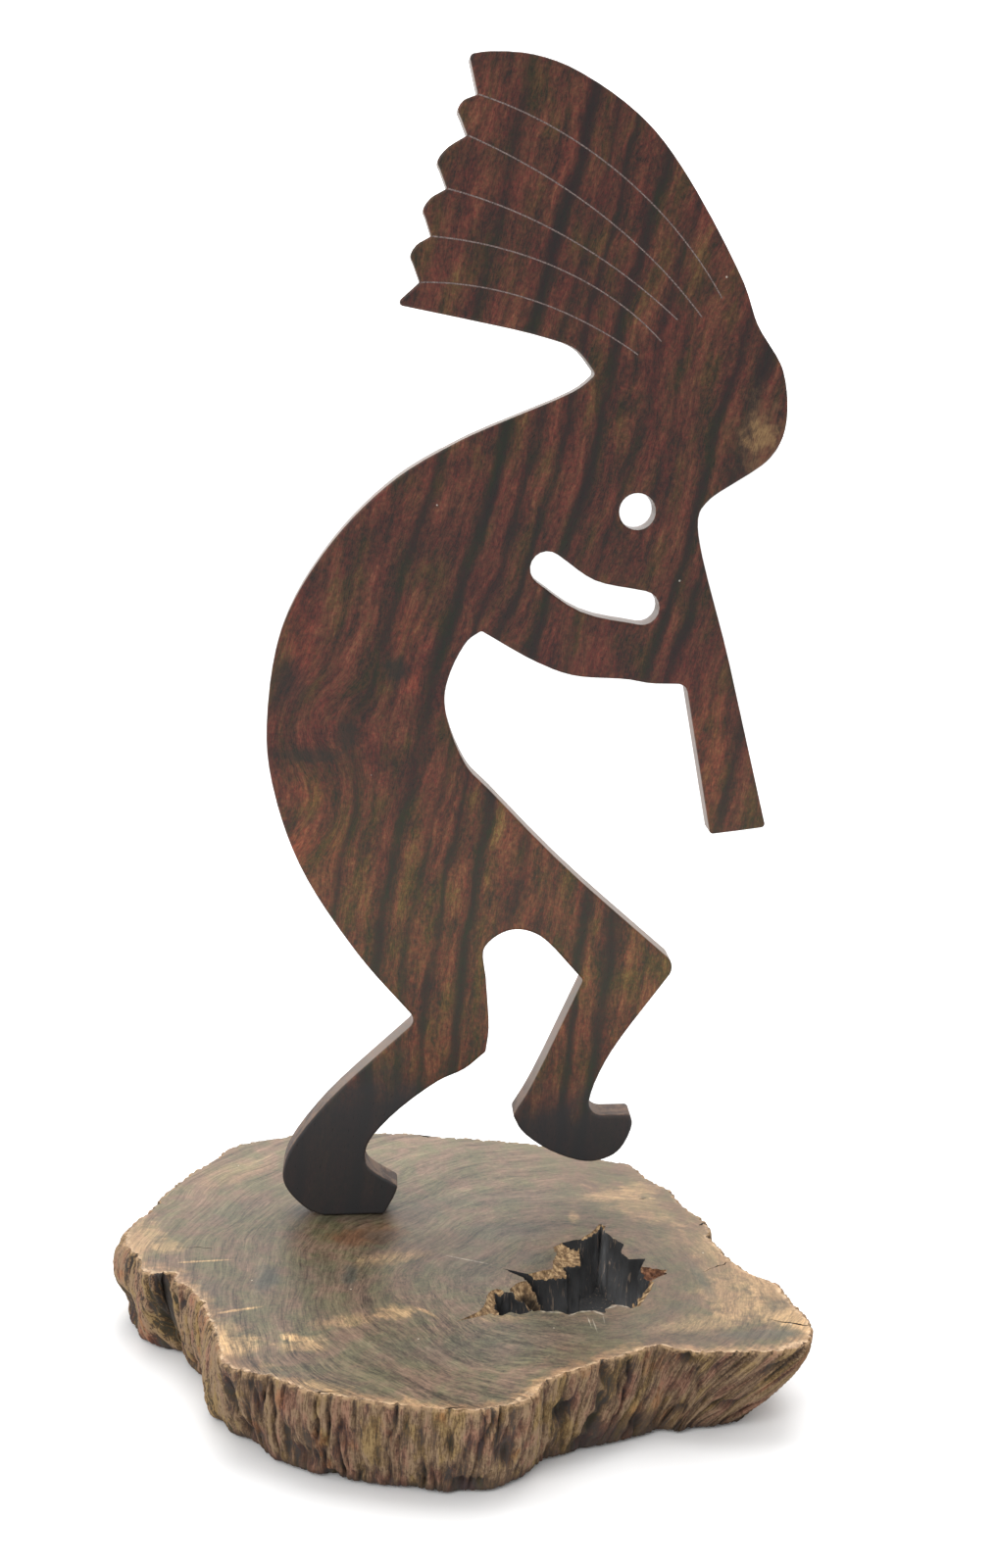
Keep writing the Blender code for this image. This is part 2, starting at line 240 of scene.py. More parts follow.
board = copy_of_node("kokopelli_figure", "flute_player_board")
pick(board, "VERT", lambda v: abs(v.co.y - FRONT - ARRIS) > NEAR)
bpy.ops.mesh.delete(type="VERT")
select_all()
bpy.ops.transform.translate(value=(0, -ARRIS, 0))
bpy.ops.mesh.fill()
bpy.ops.mesh.dissolve_limited(angle_limit=FLAT)
board.update_from_editmode()
print("saw line of", len(board.data.vertices), "points, board", round(THICKNESS / MM, 2), "mm thick")

# %% Give it its thickness and rub the arrises
ARRIS_STEPS = 5
ARRIS_ANGLE = math.radians(60)
select_all()
extrude(0, THICKNESS, 0)
face_outward()
bpy.ops.mesh.select_mode(type="EDGE")
bpy.ops.mesh.select_all(action="DESELECT")
bpy.ops.mesh.edges_select_sharp(sharpness=ARRIS_ANGLE)
bpy.ops.mesh.bevel(offset=ARRIS, segments=ARRIS_STEPS, profile=0.5, affect="EDGES", clamp_overlap=False)
print("arrises rubbed to", round(ARRIS / MM, 2), "mm in", ARRIS_STEPS, "steps")

# %% [markdown]
# A wide flat face beside a rounded edge shades badly when it is smooth, because the edge's slanting
# normals spread over it. A narrow inset just inside the arris keeps that shading in a strip of 0.2 mm.

# %% Hold the flat faces flat
SUPPORT = 0.2 * MM
FACING = 0.9999
pick(board, "FACE", lambda f: abs(f.normal.y) > FACING)
bpy.ops.mesh.inset(thickness=SUPPORT, use_even_offset=True)
leave_edit()
print("board:", triangles(board), "triangles")

# %% [markdown]
# ## The lines scored in the crest
# Five fine lines run from the notches of the crest towards the brow: shallow cuts that have caught pale
# dust. Each is a bezier curve with a thin round section that narrows at its end, and all five leave the
# board's front in one Boolean cut. The tool's own pale material stays on the cut faces.

# %% Draw the scores
SCORE_RADIUS = 0.30 * MM
SCORE_RAISED = 0.21 * MM
RUN_OUT = 1.5 * MM
FAR_END_SHARE = 0.93
FOOT = Vector((-29 * MM, 25.3 * MM))
# Each line's notch and far end in mm from the middle of the sole, and its slope in degrees at both
SCORES = [
    ((25.3, 270.8), (84.8, 251.6), 2, -35), ((28.5, 282.8), (91.2, 255.1), -4, -47),
    ((32.8, 295.1), (95.5, 260.9), -13, -42), ((38.3, 308.7), (102.2, 261.6), -22, -52),
    ((41.1, 319.1), (107.6, 266.6), -16, -60),
]


def heading(slope):
    """The direction of a slope in degrees."""
    return Vector((math.cos(math.radians(slope)), math.sin(math.radians(slope))))


def on_face(point):
    """A point of the pattern, in metres, a little in front of the board's face."""
    return Vector((FOOT.x + point.x, FRONT - SCORE_RAISED, FOOT.y + point.y))


def score_line(notch, far, notch_slope, far_slope):
    """One score as a thin rod, from a little outside its notch to its far end."""
    notch, far = Vector(notch) * MM, Vector(far) * MM
    pull = (far - notch).length / 3
    select_none()
    bpy.ops.curve.primitive_bezier_curve_add(location=(0, 0, 0))
    line = bpy.context.object
    start, end = line.data.splines[0].bezier_points
    for point, place, slope in ((start, notch, notch_slope), (end, far, far_slope)):
        point.handle_left_type = point.handle_right_type = "FREE"
        point.co = on_face(place)
        point.handle_left = on_face(place - heading(slope) * pull)
        point.handle_right = on_face(place + heading(slope) * pull)
    start.co = on_face(notch - heading(notch_slope) * RUN_OUT)
    end.radius = FAR_END_SHARE
    line.data.resolution_u = 40
    line.data.bevel_depth = SCORE_RADIUS
    line.data.bevel_resolution = 3
    line.data.use_fill_caps = True
    bpy.ops.object.convert(target="MESH")
    return bpy.context.object


scoring_tool = join([score_line(*score) for score in SCORES], "scoring_tool")
print("scoring tool:", triangles(scoring_tool), "triangles")

# %% [markdown]
# ## Helpers for materials
# A material is a small network of nodes. These helpers add a node to the network in hand, set its inputs,
# and link a socket where one is given in place of a value, so that each material reads as a short recipe.
# An effect that several woods share is a node group, which puts out only masks and values.


# %% Adding nodes
def work_in(network):
    """From here on the helpers add their nodes to this network."""
    global tree
    tree = network


def put(socket, value):
    """Sets an input, or links it where the value is a node or an output. A colour is three numbers."""
    if isinstance(value, bpy.types.Node):
        value = value.outputs[0]
    if isinstance(value, bpy.types.NodeSocket):
        tree.links.new(value, socket)
    else:
        socket.default_value = (*value, 1) if socket.type == "RGBA" else value


def add(kind, inputs=None, **settings):
    made = tree.nodes.new("ShaderNode" + kind)
    for name, value in settings.items():
        setattr(made, name, value)
    for name, value in (inputs or {}).items():
        put(made.inputs[name], value)
    return made


def maths(operation, *values, clamp=False):
    return add("Math", dict(enumerate(values)), operation=operation, use_clamp=clamp).outputs[0]


def plus(first, second, clamp=False):
    return maths("ADD", first, second, clamp=clamp)


def minus(first, second):
    return maths("SUBTRACT", first, second)


def times(first, second, clamp=False):
    return maths("MULTIPLY", first, second, clamp=clamp)


def times_plus(value, factor, more):
    return maths("MULTIPLY_ADD", value, factor, more)


def vector_maths(operation, *values):
    made = add("VectorMath", dict(enumerate(values)), operation=operation)
    return made.outputs["Value" if operation == "LENGTH" else "Vector"]


def stretched(vector, scale):
    """The vector with each axis scaled by its own factor."""
    return vector_maths("MULTIPLY", vector, scale)


def axes(vector):
    return add("SeparateXYZ", {"Vector": vector}).outputs


def spread(value, low, high, to_low=0.0, to_high=1.0, smooth=True):
    """Maps a value between two limits to another range, with soft ends."""
    kind = "SMOOTHSTEP" if smooth else "LINEAR"
    inputs = {"Value": value, "From Min": low, "From Max": high, "To Min": to_low, "To Max": to_high}
    return add("MapRange", inputs, interpolation_type=kind).outputs["Result"]


# %% Noise, and sums of noise
def grain_noise(vector, scale, detail=3, roughness=0.5):
    """Noise whose scale is one number, or one for each axis."""
    if isinstance(scale, tuple):
        vector, scale = stretched(vector, scale), 1.0
    inputs = {"Vector": vector, "Scale": scale, "Detail": detail, "Roughness": roughness}
    return add("TexNoise", inputs).outputs["Fac"]


def swing(value, amount):
    """A value round 0.5 turned into one round zero, from -amount to +amount."""
    return times_plus(value, 2 * amount, -amount)


def swung(total, *noises):
    """The total with the swing of each (noise, amount) added."""
    for value, amount in noises:
        total = plus(total, swing(value, amount))
    return total


def thin_lines(value, width):
    """Thin lines where a noise crosses its middle value."""
    return spread(maths("ABSOLUTE", minus(value, 0.5)), width, 0.0)


# %% Mixing colours
def blend(share, first, second, kind="MIX"):
    """Mixes two colours by a share."""
    return add("Mix", {0: share, 6: first, 7: second}, data_type="RGBA", blend_type=kind).outputs[2]


def tinted(share, color, tint):
    """The colour multiplied by a tint, mixed in by a share."""
    return blend(share, color, tint, "MULTIPLY")


def shaded(color, value):
    """The colour made lighter or darker by a value."""
    grey = add("CombineColor", {"Red": value, "Green": value, "Blue": value})
    return tinted(1.0, color, grey)


def ramp(value, stops, interpolation="LINEAR"):
    """A colour ramp from a list of (place, colour)."""
    made = add("ValToRGB", {"Fac": value})
    made.color_ramp.interpolation = interpolation
    elements = made.color_ramp.elements
    for place, _ in stops[2:]:
        elements.new(place)
    for element, (place, color) in zip(elements, stops):
        element.position = place
        element.color = (*color, 1)
    return made.outputs["Color"]


# %% Starting a group or a material, and finishing a material
def new_group(name, inputs, outputs):
    """An empty shader group with named sockets: (name, kind, default) in, and names out."""
    group = bpy.data.node_groups.new(name, "ShaderNodeTree")
    for label, kind, default in inputs:
        socket = group.interface.new_socket(label, in_out="INPUT", socket_type="NodeSocket" + kind)
        socket.default_value = default
    for label in outputs:
        group.interface.new_socket(label, in_out="OUTPUT", socket_type="NodeSocketFloat")
    work_in(group)
    return group, group.nodes.new("NodeGroupInput").outputs, group.nodes.new("NodeGroupOutput").inputs


def new_material(name, roughness, specular):
    """A material with a Principled BSDF, and the piece's own coordinates in millimetres."""
    material = bpy.data.materials.new(name)
    material.use_nodes = True
    work_in(material.node_tree)
    shader = tree.nodes["Principled BSDF"]
    put(shader.inputs["Roughness"], roughness)
    put(shader.inputs["Specular IOR Level"], specular)
    return material, shader, stretched(add("TexCoord").outputs["Object"], (1000, 1000, 1000))


def finish(shader, color, relief, strength, depth):
    """Gives the shader its colour and its relief, whose depth is in mm."""
    put(shader.inputs["Base Color"], color)
    bump = add("Bump", {"Strength": strength, "Distance": depth * MM, "Height": relief})
    put(shader.inputs["Normal"], bump)


# %% [markdown]
# ### Effects that the woods share
# Fibres are noise drawn out along the grain. Specks are rare bright dots of dust. A patch is a soft blot
# with a ragged edge round a centre, for a stain, a knot or a streak of sapwood.

# %% The shared groups
OWN_PLACE = ("Vector", "Vector", (0, 0, 0))
fibres_group, given, result = new_group(
    "wood_fibres", [OWN_PLACE, ("Across", "Float", 3.0), ("Along", "Float", 0.12)], ["Fibres", "Pores"])
squeeze = add("CombineXYZ", {"X": given["Across"], "Y": given["Across"], "Z": given["Along"]})
drawn_out = stretched(given["Vector"], squeeze)
put(result["Fibres"], spread(grain_noise(drawn_out, 1.0, roughness=0.6), 0.28, 0.72))
put(result["Pores"], spread(grain_noise(drawn_out, (1.7, 1.7, 2.6), detail=1), 0.63, 0.72))

specks_group, given, result = new_group(
    "dust_specks", [OWN_PLACE, ("Spacing", "Float", 12.0), ("Size", "Float", 0.3),
                    ("Share", "Float", 0.3)], ["Specks"])
cells = vector_maths("DIVIDE", given["Vector"], given["Spacing"])
scatter = add("TexVoronoi", {"Vector": cells, "Scale": 1.0}).outputs
dot = maths("LESS_THAN", times(scatter["Distance"], given["Spacing"]), given["Size"])
lot = add("SeparateColor", {"Color": scatter["Color"]}).outputs["Red"]
put(result["Specks"], times(dot, maths("LESS_THAN", lot, given["Share"])))

patch_group, given, result = new_group(
    "soft_patch", [OWN_PLACE, ("Centre", "Vector", (0, 0, 0)), ("Reach", "Vector", (10, 10, 10)),
                   ("Blot", "Float", 0.5), ("Ragged", "Float", 0.6)], ["Mask"])
away = vector_maths("DIVIDE", vector_maths("SUBTRACT", given["Vector"], given["Centre"]), given["Reach"])
uneven = times(minus(given["Blot"], 0.5), given["Ragged"])
edge = plus(vector_maths("LENGTH", away), times(uneven, 3.0))
put(result["Mask"], spread(edge, 1.25, 0.35))
print("shared groups:", [g.name for g in (fibres_group, specks_group, patch_group)])


def use(group, *values):
    """The outputs of a group, with its inputs set in their order."""
    return add("Group", dict(enumerate(values)), node_tree=group).outputs


def patch(vector, blot, centre, reach, ragged=0.6):
    """The mask of a soft patch, whose edge follows the noise called blot."""
    return use(patch_group, vector, centre, reach, blot, ragged)[0]


# %% [markdown]
# ### The board's hardwood
# The board is a true plank: its dark lines are cuts through growth layers, and they run the whole height
# of the figure, leaning to the right as they climb. So the colour isn't painted in place. Each point is
# given its place across the grain, by taking away how far the grain has leaned at its height, and a
# colour ramp over that one value is the order of light and dark layers. Noise drawn out along the grain
# makes the lines waver and fade, and a turned patch of the coordinates makes the swirl in the hump.

# %% The lean of the grain and the order of its dark layers
GRAIN_HEIGHT = 360
# Height in mm, and how far the grain has leaned to the right there
GRAIN_LEAN = [(0, -4), (40, 0), (110, 8.4), (185, 24.2), (240, 40.7), (360, 70)]
LEAN_SPAN = 100
LEAN_START = -10
GRAIN_LEFT = -80
GRAIN_WIDTH = 170
# Place across the grain in mm, half width in mm, and how dark
DARK_LAYERS = [
    (-42, 3, 0.6), (-25, 3.4, 0.95), (-16.5, 2.2, 0.6), (-9.8, 2, 0.75), (-0.8, 3.2, 0.9),
    (10.8, 2.6, 0.45), (19, 1.8, 0.28), (34.4, 2.6, 0.9), (42, 3.4, 0.9), (67.6, 2.4, 0.8),
]
SWIRL_CENTRE = (-35, 30, 164)


def grain_place(in_mm):
    """Place across the grain, wavering, and the height."""
    from_swirl = vector_maths("SUBTRACT", in_mm, SWIRL_CENTRE)
    far = vector_maths("LENGTH", stretched(from_swirl, (1.0, 0.3, 0.8)))
    inputs = {"Vector": in_mm, "Center": SWIRL_CENTRE, "Angle": spread(far, 2.0, 24.0, 0.62, 0.0)}
    turned = add("VectorRotate", inputs, rotation_type="Y_AXIS")
    at = axes(turned)
    curve = add("FloatCurve", {"Value": maths("DIVIDE", at["Z"], GRAIN_HEIGHT)})
    shares = [(height / GRAIN_HEIGHT, (lean - LEAN_START) / LEAN_SPAN) for height, lean in GRAIN_LEAN]
    first, *middle, last = shares
    points = curve.mapping.curves[0].points
    for place in middle:
        points.new(*place)
    points[0].location = first
    points[len(points) - 1].location = last
    curve.mapping.update()
    straight = minus(at["X"], times_plus(curve, LEAN_SPAN, LEAN_START))
    straight = plus(straight, minus(times(at["Y"], 0.25), 6.3))
    wide_waver = swing(grain_noise(turned, (0.045, 0.03, 0.018), detail=2), 4.5)
    fine_waver = swing(grain_noise(turned, (0.22, 0.1, 0.07), roughness=0.6), 1.7)
    return plus(straight, plus(wide_waver, fine_waver)), at["Z"]


def dark_layers(across):
    """How dark the growth layer is at a place across the grain."""
    stops = []
    for middle, half, dark in DARK_LAYERS:
        for place, value in ((middle - half, 0), (middle, dark), (middle + half, 0)):
            stops.append(((place - GRAIN_LEFT) / GRAIN_WIDTH, (value,) * 3))
    return ramp(maths("DIVIDE", minus(across, GRAIN_LEFT), GRAIN_WIDTH), stops, "EASE")


print("dark layers:", len(DARK_LAYERS), "from", DARK_LAYERS[0][0], "to", DARK_LAYERS[-1][0], "mm")

# %% Build the hardwood
HEARTWOOD = [
    (0, (0.0135, 0.0138, 0.0125)), (0.22, (0.025, 0.0165, 0.013)), (0.45, (0.057, 0.0245, 0.0165)),
    (0.7, (0.1, 0.04, 0.0235)), (1, (0.175, 0.082, 0.041)),
]
OLIVE = (0.86, 1.17, 0.88)
ROSY = (1.08, 0.86, 0.98)
FINE_RED = (1.14, 0.84, 0.96)

hardwood, shader, in_mm = new_material("dark streaked hardwood", 0.3, 0.2)
across, height = grain_place(in_mm)
along_grain = add("CombineXYZ", {"X": across, "Y": 0.0, "Z": height})
layers = grain_noise(along_grain, (0.34, 1, 0.018), roughness=0.55)
short_streaks = grain_noise(along_grain, (0.55, 1, 0.10), detail=4, roughness=0.6)
tone = plus(times(layers, 0.5), times(short_streaks, 0.5))
tone = spread(tone, 0.36, 0.66, 0.26, 0.74, smooth=False)
blotches = grain_noise(along_grain, (0.15, 1, 0.06), detail=4, roughness=0.6)
tone = times(tone, spread(blotches, 0.36, 0.62, 0.70, 1.16))
thread, pores = use(fibres_group, along_grain, 2.6, 0.45)
speckle = grain_noise(in_mm, 0.95, detail=4, roughness=0.85)
tone = swung(tone, (thread, 0.15), (speckle, 0.46))
swell = grain_noise(along_grain, (0.10, 1, 0.035))
darkness = times(dark_layers(across), spread(swell, 0.33, 0.55, 0.65, 1.0))
tone = times(tone, minus(1.0, times(darkness, 0.94)))
color = ramp(plus(tone, 0.0, clamp=True), HEARTWOOD)
hue = grain_noise(along_grain, (0.13, 1, 0.045), detail=4, roughness=0.65)
fine_hue = grain_noise(in_mm, (1.2, 1.2, 0.8), detail=2, roughness=0.7)
for where, low, high, tint in (
        (hue, 0.46, 0.64, ROSY), (hue, 0.50, 0.36, OLIVE), (fine_hue, 0.44, 0.66, FINE_RED)):
    color = tinted(spread(where, low, high), color, tint)
print("layers and streaks:", len(tree.nodes), "nodes")

# %% [markdown]
# Where the figure differs from an even plank: the tip of the nose is pale, and the thighs are a warmer
# and lighter brown than the head. The legs are also coloured nearly black towards the feet. The sawn
# sides have open end grain, which is paler and duller than the rubbed faces.

# %% Pale nose, warm thighs, black feet and open sides
# Dark knots and warm clouds: x and z in mm, half width, half height, then how strong
KNOTS = [
    (-11, 190, 4, 5, 0.8), (-42, 186, 7, 9, 0.6), (-37, 166, 12, 2.6, 0.7), (-25.5, 172.5, 4, 5, 0.6),
    (4, 222, 38, 20, 0.15),
]
CLOUDS = [
    (-38, 201, 5, 13, 0.7), (-8.6, 203, 8, 9, 0.5), (-36, 155, 9, 6, 0.6), (-35, 138, 12, 8, 0.7),
    (-5, 187, 7, 4, 0.7), (77, 163, 9, 26, 0.7),
]
KNOT_BLACK = (0.017, 0.017, 0.015)
CLOUD = (1.45, 1.26, 1.10)
NOSE = (90.3, 30, 255)
BROWN_NOSE = (0.112, 0.062, 0.033)
PALE_NOSE = (0.22, 0.135, 0.060)
WARM = (1.62, 1.90, 1.48)
FOOT_BLACK = (0.032, 0.032, 0.034)
SAWN = (0.15, 0.095, 0.062)
SAWN_TOE = ((0.055, 0.030, 0.020), (0.165, 0.098, 0.062))
HAND_DUST = (0.5, 0.48, 0.42)
BOARD_MIDDLE = 30

blot = grain_noise(in_mm, 0.22, detail=4, roughness=0.65)
for patches, paint, kind in ((CLOUDS, CLOUD, "MULTIPLY"), (KNOTS, KNOT_BLACK, "MIX")):
    for x, z, wide, high, strength in patches:
        mask = patch(in_mm, blot, (x, BOARD_MIDDLE, z), (wide, 20, high))
        color = blend(times(mask, strength), color, paint, kind)
streak = spread(thread, 0.1, 0.9, 0.35, 0.9)
for paint, reach in ((BROWN_NOSE, (6.5, 20, 11)), (PALE_NOSE, (4.2, 20, 5.5))):
    color = blend(times(patch(in_mm, blot, NOSE, reach, 0.8), streak), color, paint)
color = tinted(spread(height, 185, 105), color, WARM)
standing_leg = spread(axes(in_mm)["X"], 5, -15, 0, -8)
foot_edge = plus(swing(grain_noise(in_mm, 0.12), 11.0), standing_leg)
color = blend(times(spread(plus(height, foot_edge), 74, 50), 0.93), color, FOOT_BLACK)
facing = axes(add("NewGeometry").outputs["Normal"])
side = spread(maths("ABSOLUTE", facing["Y"]), 0.75, 0.35)
raw = times(side, times_plus(thread, 0.5, 0.4), clamp=True)
sawn = blend(spread(height, 80, 50), SAWN, blend(spread(blot, 0.4, 0.6), *SAWN_TOE))
color = blend(raw, color, sawn)
color = blend(times(use(specks_group, in_mm, 11.0, 0.27, 0.5)[0], 0.55), color, HAND_DUST)
dull_foot = spread(height, 75, 45, 0.07, 0.35)
put(shader.inputs["Roughness"], plus(times_plus(thread, 0.08, 0.27), times(side, dull_foot)))
finish(shader, color, minus(times(thread, 0.4), pores), 0.25, 0.03)
print("hardwood:", len(tree.nodes), "nodes")

# %% [markdown]
# The scores are the one place where raw wood and pale dust show on the board. Their material goes on the
# tool, so the cut carries it over.

# %% Build the score material, then cut the scores
scored, shader, in_mm = new_material("dusty scored wood", 0.8, 0.2)
grit = spread(grain_noise(in_mm, 2.2), 0.3, 0.7)
put(shader.inputs["Base Color"], ramp(grit, [(0.0, (0.072, 0.054, 0.050)), (1.0, (0.22, 0.168, 0.155))]))

BOARD_SMOOTH_BELOW = 32
board.data.materials.append(hardwood)
scoring_tool.data.materials.append(scored)
cut_with(board, scoring_tool, "scores", "EXACT")
smooth_faces(board, BOARD_SMOOTH_BELOW)
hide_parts("kokopelli_figure")
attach(board, "root")
print("finished board:", triangles(board), "triangles", [m.name for m in board.data.materials])

# %% [markdown]
# ## The slice of log
# The base is a slice of an old, half-buried log. Its top is sawn flat and sealed, and weather has cut
# deep upright fissures into its wall. The slice could be sculpted, but such a wall follows a rule, so it
# is modelled in two steps: a plain drum with the CAD slice's own rim line, cut into many rows, and then a
# move of each wall point by a depth read from noise that is drawn out along the fibres.

# %% Lift the rim line from the CAD slice
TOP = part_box("log_base")[1].z
RIM_WEAR = 0.7 * MM
RIM_CUTS = 7
RIM_SMOOTHINGS = 12

drum = copy_of_node("log_base", "log_slice")
pick(drum, "VERT", lambda v: abs(v.co.z - TOP + RIM_WEAR) > NEAR)
bpy.ops.mesh.delete(type="VERT")
select_all()
bpy.ops.mesh.subdivide(number_cuts=RIM_CUTS)
bpy.ops.mesh.vertices_smooth(factor=0.5, repeat=RIM_SMOOTHINGS)
bpy.ops.mesh.edge_face_add()
drum.update_from_editmode()
rim = points_of(drum)[drum.data.polygons[0].vertices, :2]
print("rim of", len(rim), "points round", len(drum.data.polygons), "face")

# %% Extrude it down and cut the wall into rows, closer ones at the rim
WALL_ROWS = 34
RIM_ROWS = (0.55, 0.28, 0.09)
bpy.ops.transform.translate(value=(0, 0, RIM_WEAR))
extrude(0, 0, -TOP)
face_outward()
pick(drum, "EDGE", lambda e: abs(e.verts[0].co.z - e.verts[1].co.z) > TOP / 2)
bpy.ops.mesh.subdivide(number_cuts=WALL_ROWS - 1)
for below in RIM_ROWS:
    select_all()
    bpy.ops.mesh.bisect(plane_co=(0, 0, TOP - below * MM), plane_no=(0, 0, 1))
leave_edit()
print("drum:", len(drum.data.vertices), "points,", round(TOP / MM, 2), "mm high")

# %% [markdown]
# The wall is worn after the hollow and the cracks are cut, because a Boolean cut needs clean shapes. What
# the wear needs was taken while the rim was one unbroken line: its points, in the order of its one face.
# From them come the outward direction at each point and its bearing, walking anticlockwise.

# %% Take the rim's directions
top_mm = TOP / MM
if np.sum(rim[:, 0] * np.roll(rim[:, 1], -1) - rim[:, 1] * np.roll(rim[:, 0], -1)) < 0:
    rim = rim[::-1]
# How many points before and after a rim point its direction is taken from
REACH = 7
ahead, behind = np.roll(rim, -REACH, axis=0), np.roll(rim, REACH, axis=0)
along = (ahead - behind) / np.linalg.norm(ahead - behind, axis=1)[:, None]
rim_out = np.stack([along[:, 1], -along[:, 0]], axis=1)
rim_step = np.linalg.norm(np.roll(rim, -1, axis=0) - rim, axis=1).mean()
bearing = np.degrees(np.arctan2(rim[:, 1], rim[:, 0])) % 360
print("rim:", len(rim), "points,", round(rim_step * len(rim)), "mm round")

# %% [markdown]
# ## The rotted hollow
# The heart of the log has rotted out in a ragged star, with a smaller hole beside it. Each hole is drawn
# point by point as it looks from above, filled, and pulled down into a tool that narrows towards its
# floor. Many small cuts and some upright noise turn its sides into splinters.

# %% Draw the two holes and pull them down
# Edge points in mm, as seen from above
STAR = [
    (47.5, 15), (48, 9), (50, 5), (52.5, 1), (51, -4), (52.5, -8.5), (57.5, -8.5), (55.5, -14), (57, -21),
    (52, -32), (49.5, -36), (45, -35), (42.5, -37.5), (42.5, -40), (39.5, -38), (36, -38), (32.5, -40),
    (29.5, -37.5), (26.5, -38), (24.5, -37), (25.5, -31), (25, -23.5), (22, -18), (16.5, -12), (26, -17),
    (33.7, -15.8), (34, -9.5), (39, -8.2), (39.4, -1.5), (39.5, 0.4), (34.5, 3), (41.5, 5.5), (46, 11),
]
SIDE_HOLE = [
    (13.2, -25), (17.3, -26.3), (20.3, -26.5), (21.9, -30.8), (22.7, -37.3), (19.5, -39), (17, -37.5),
    (14.4, -38.5), (13, -32),
]
ABOVE = 3 * MM
OUTLINE_CUTS = 5
DEPTH_CUTS = 14


def drawn_line(name, outline, cuts):
    """A closed line of edges a little above the top, each cut in smaller ones, in edit mode."""
    mesh = bpy.data.meshes.new(name)
    count = len(outline)
    mesh.from_pydata([(x * MM, y * MM, TOP + ABOVE) for x, y in outline],
                     [(i, (i + 1) % count) for i in range(count)], [])
    line = bpy.data.objects.new(name, mesh)
    bpy.context.scene.collection.objects.link(line)
    edit(line)
    select_all()
    bpy.ops.mesh.subdivide(number_cuts=cuts)
    return line


def sunk_hole(name, outline, depth, floor_share):
    """A drawn hole pulled down into a tool, with its floor narrowed to a share of the outline."""
    hole = drawn_line(name, outline, OUTLINE_CUTS)
    bpy.ops.mesh.edge_face_add()
    extrude(0, 0, -ABOVE)
    extrude(0, 0, -depth)
    bpy.ops.transform.resize(value=(floor_share, floor_share, 1))
    pick(hole, "EDGE", lambda e: abs(e.verts[0].co.z - e.verts[1].co.z) > depth / 2)
    bpy.ops.mesh.subdivide(number_cuts=DEPTH_CUTS)
    face_outward()
    leave_edit()
    return hole


star_hole = sunk_hole("star_hole", STAR, 18 * MM, 0.86)
side_hole = sunk_hole("side_hole", SIDE_HOLE, 11 * MM, 0.8)
print("holes of", [len(hole.data.vertices) for hole in (star_hole, side_hole)], "points")

# %% Roughen them with splinters
for hole in (star_hole, side_hole):
    points = points_of(hole)
    middle = points[:, :2].mean(axis=0)
    outward = points[:, :2] - middle
    far_out = np.linalg.norm(outward, axis=1)[:, None]
    splinter = noise_over(points, (1.2, 1.2, 8), 5.0) + 0.6 * noise_over(points, (0.6, 0.6, 4), 9.0)
    strength = np.where(points[:, 2] < top_mm - 0.1, 1.1, 0.45)
    points[:, :2] += outward / far_out * (splinter * strength)[:, None]
    put_points(hole, points)
    print(hole.name, triangles(hole), "triangles")

# %% [markdown]
# Round the holes the wood has torn away in ledges a few millimetres deep. Each is drawn as seen from
# above, reaching well into its hole, and pulled down a little. Its floor is cut into slivers and pressed
# down, more so further from the drawn line and with noise on top, so that it looks splintered and meets
# the sawn top without a step.

# %% Draw and model the torn ledges
# Edge points in mm, the greatest depth, and over how many mm the floor comes up to it
LEDGES = {
    "upper_ledge": ([
        (21.5, -16.5), (27.5, -14), (30.5, -13), (31, -8.5), (32.5, -4), (32, 0.5), (34.5, 2.7),
        (38, 3.2), (41.5, -1), (42.5, -5.5), (41.5, -10.5), (38.5, -15), (37, -16), (37, -21),
        (32, -23.5), (27, -24), (23, -21.5)], 1.3, 1.6),
    "bridge": ([
        (17.5, -24.5), (19.5, -21.5), (21.5, -19.8), (24, -20.5), (26.5, -22), (27.6, -25.5),
        (27.6, -30.5), (27, -36.4), (24.8, -37.4), (22.6, -37), (21, -34), (20.2, -29.5),
        (18, -27)], 6, 4),
    "right_ledge": ([
        (52.6, -13.4), (55.5, -13.4), (58.5, -14.6), (62.5, -16), (62, -18.4), (59.5, -20), (57.5, -22),
        (55.5, -26.5), (52.4, -27), (51.4, -19.5)], 1.3, 2.6),
    "left_ledge": ([
        (14.4, -24), (12.4, -25), (11, -28), (10, -33.5), (8.5, -36.6), (4.5, -40), (2.5, -41.5),
        (6.5, -40.3), (11, -38.2), (14.5, -39.4), (17.4, -37), (17.2, -31.5), (16.6, -26.5)], 1.9, 2),
    "top_ledge": ([
        (40.4, 4.8), (41.4, 6.4), (44.4, 9.8), (46.8, 14.6), (48.2, 14), (48, 11), (45, 7),
        (43, 4)], 0.8, 1.4),
    "low_right_ledge": ([
        (56.5, -21.5), (58, -22.5), (56.4, -27.5), (54, -32.5), (52, -36.5), (49.5, -37.5), (47, -34.5),
        (50, -28.5), (53, -22)], 1.6, 1.6),
}
LEDGE_CUTS = 3
SLIVER_CUTS = 5
LEDGE_DROP = 0.25 * MM
RAGGED = 0.6


def beyond(points, outline):
    """Distance in mm from each point to a closed line, as seen from above."""
    start = np.array(outline)
    run = np.roll(start, -1, axis=0) - start
    offset = points[:, None, :2] - start
    share = np.clip((offset * run).sum(2) / (run**2).sum(1), 0, 1)
    return np.linalg.norm(offset - share[..., None] * run, axis=2).min(axis=1)


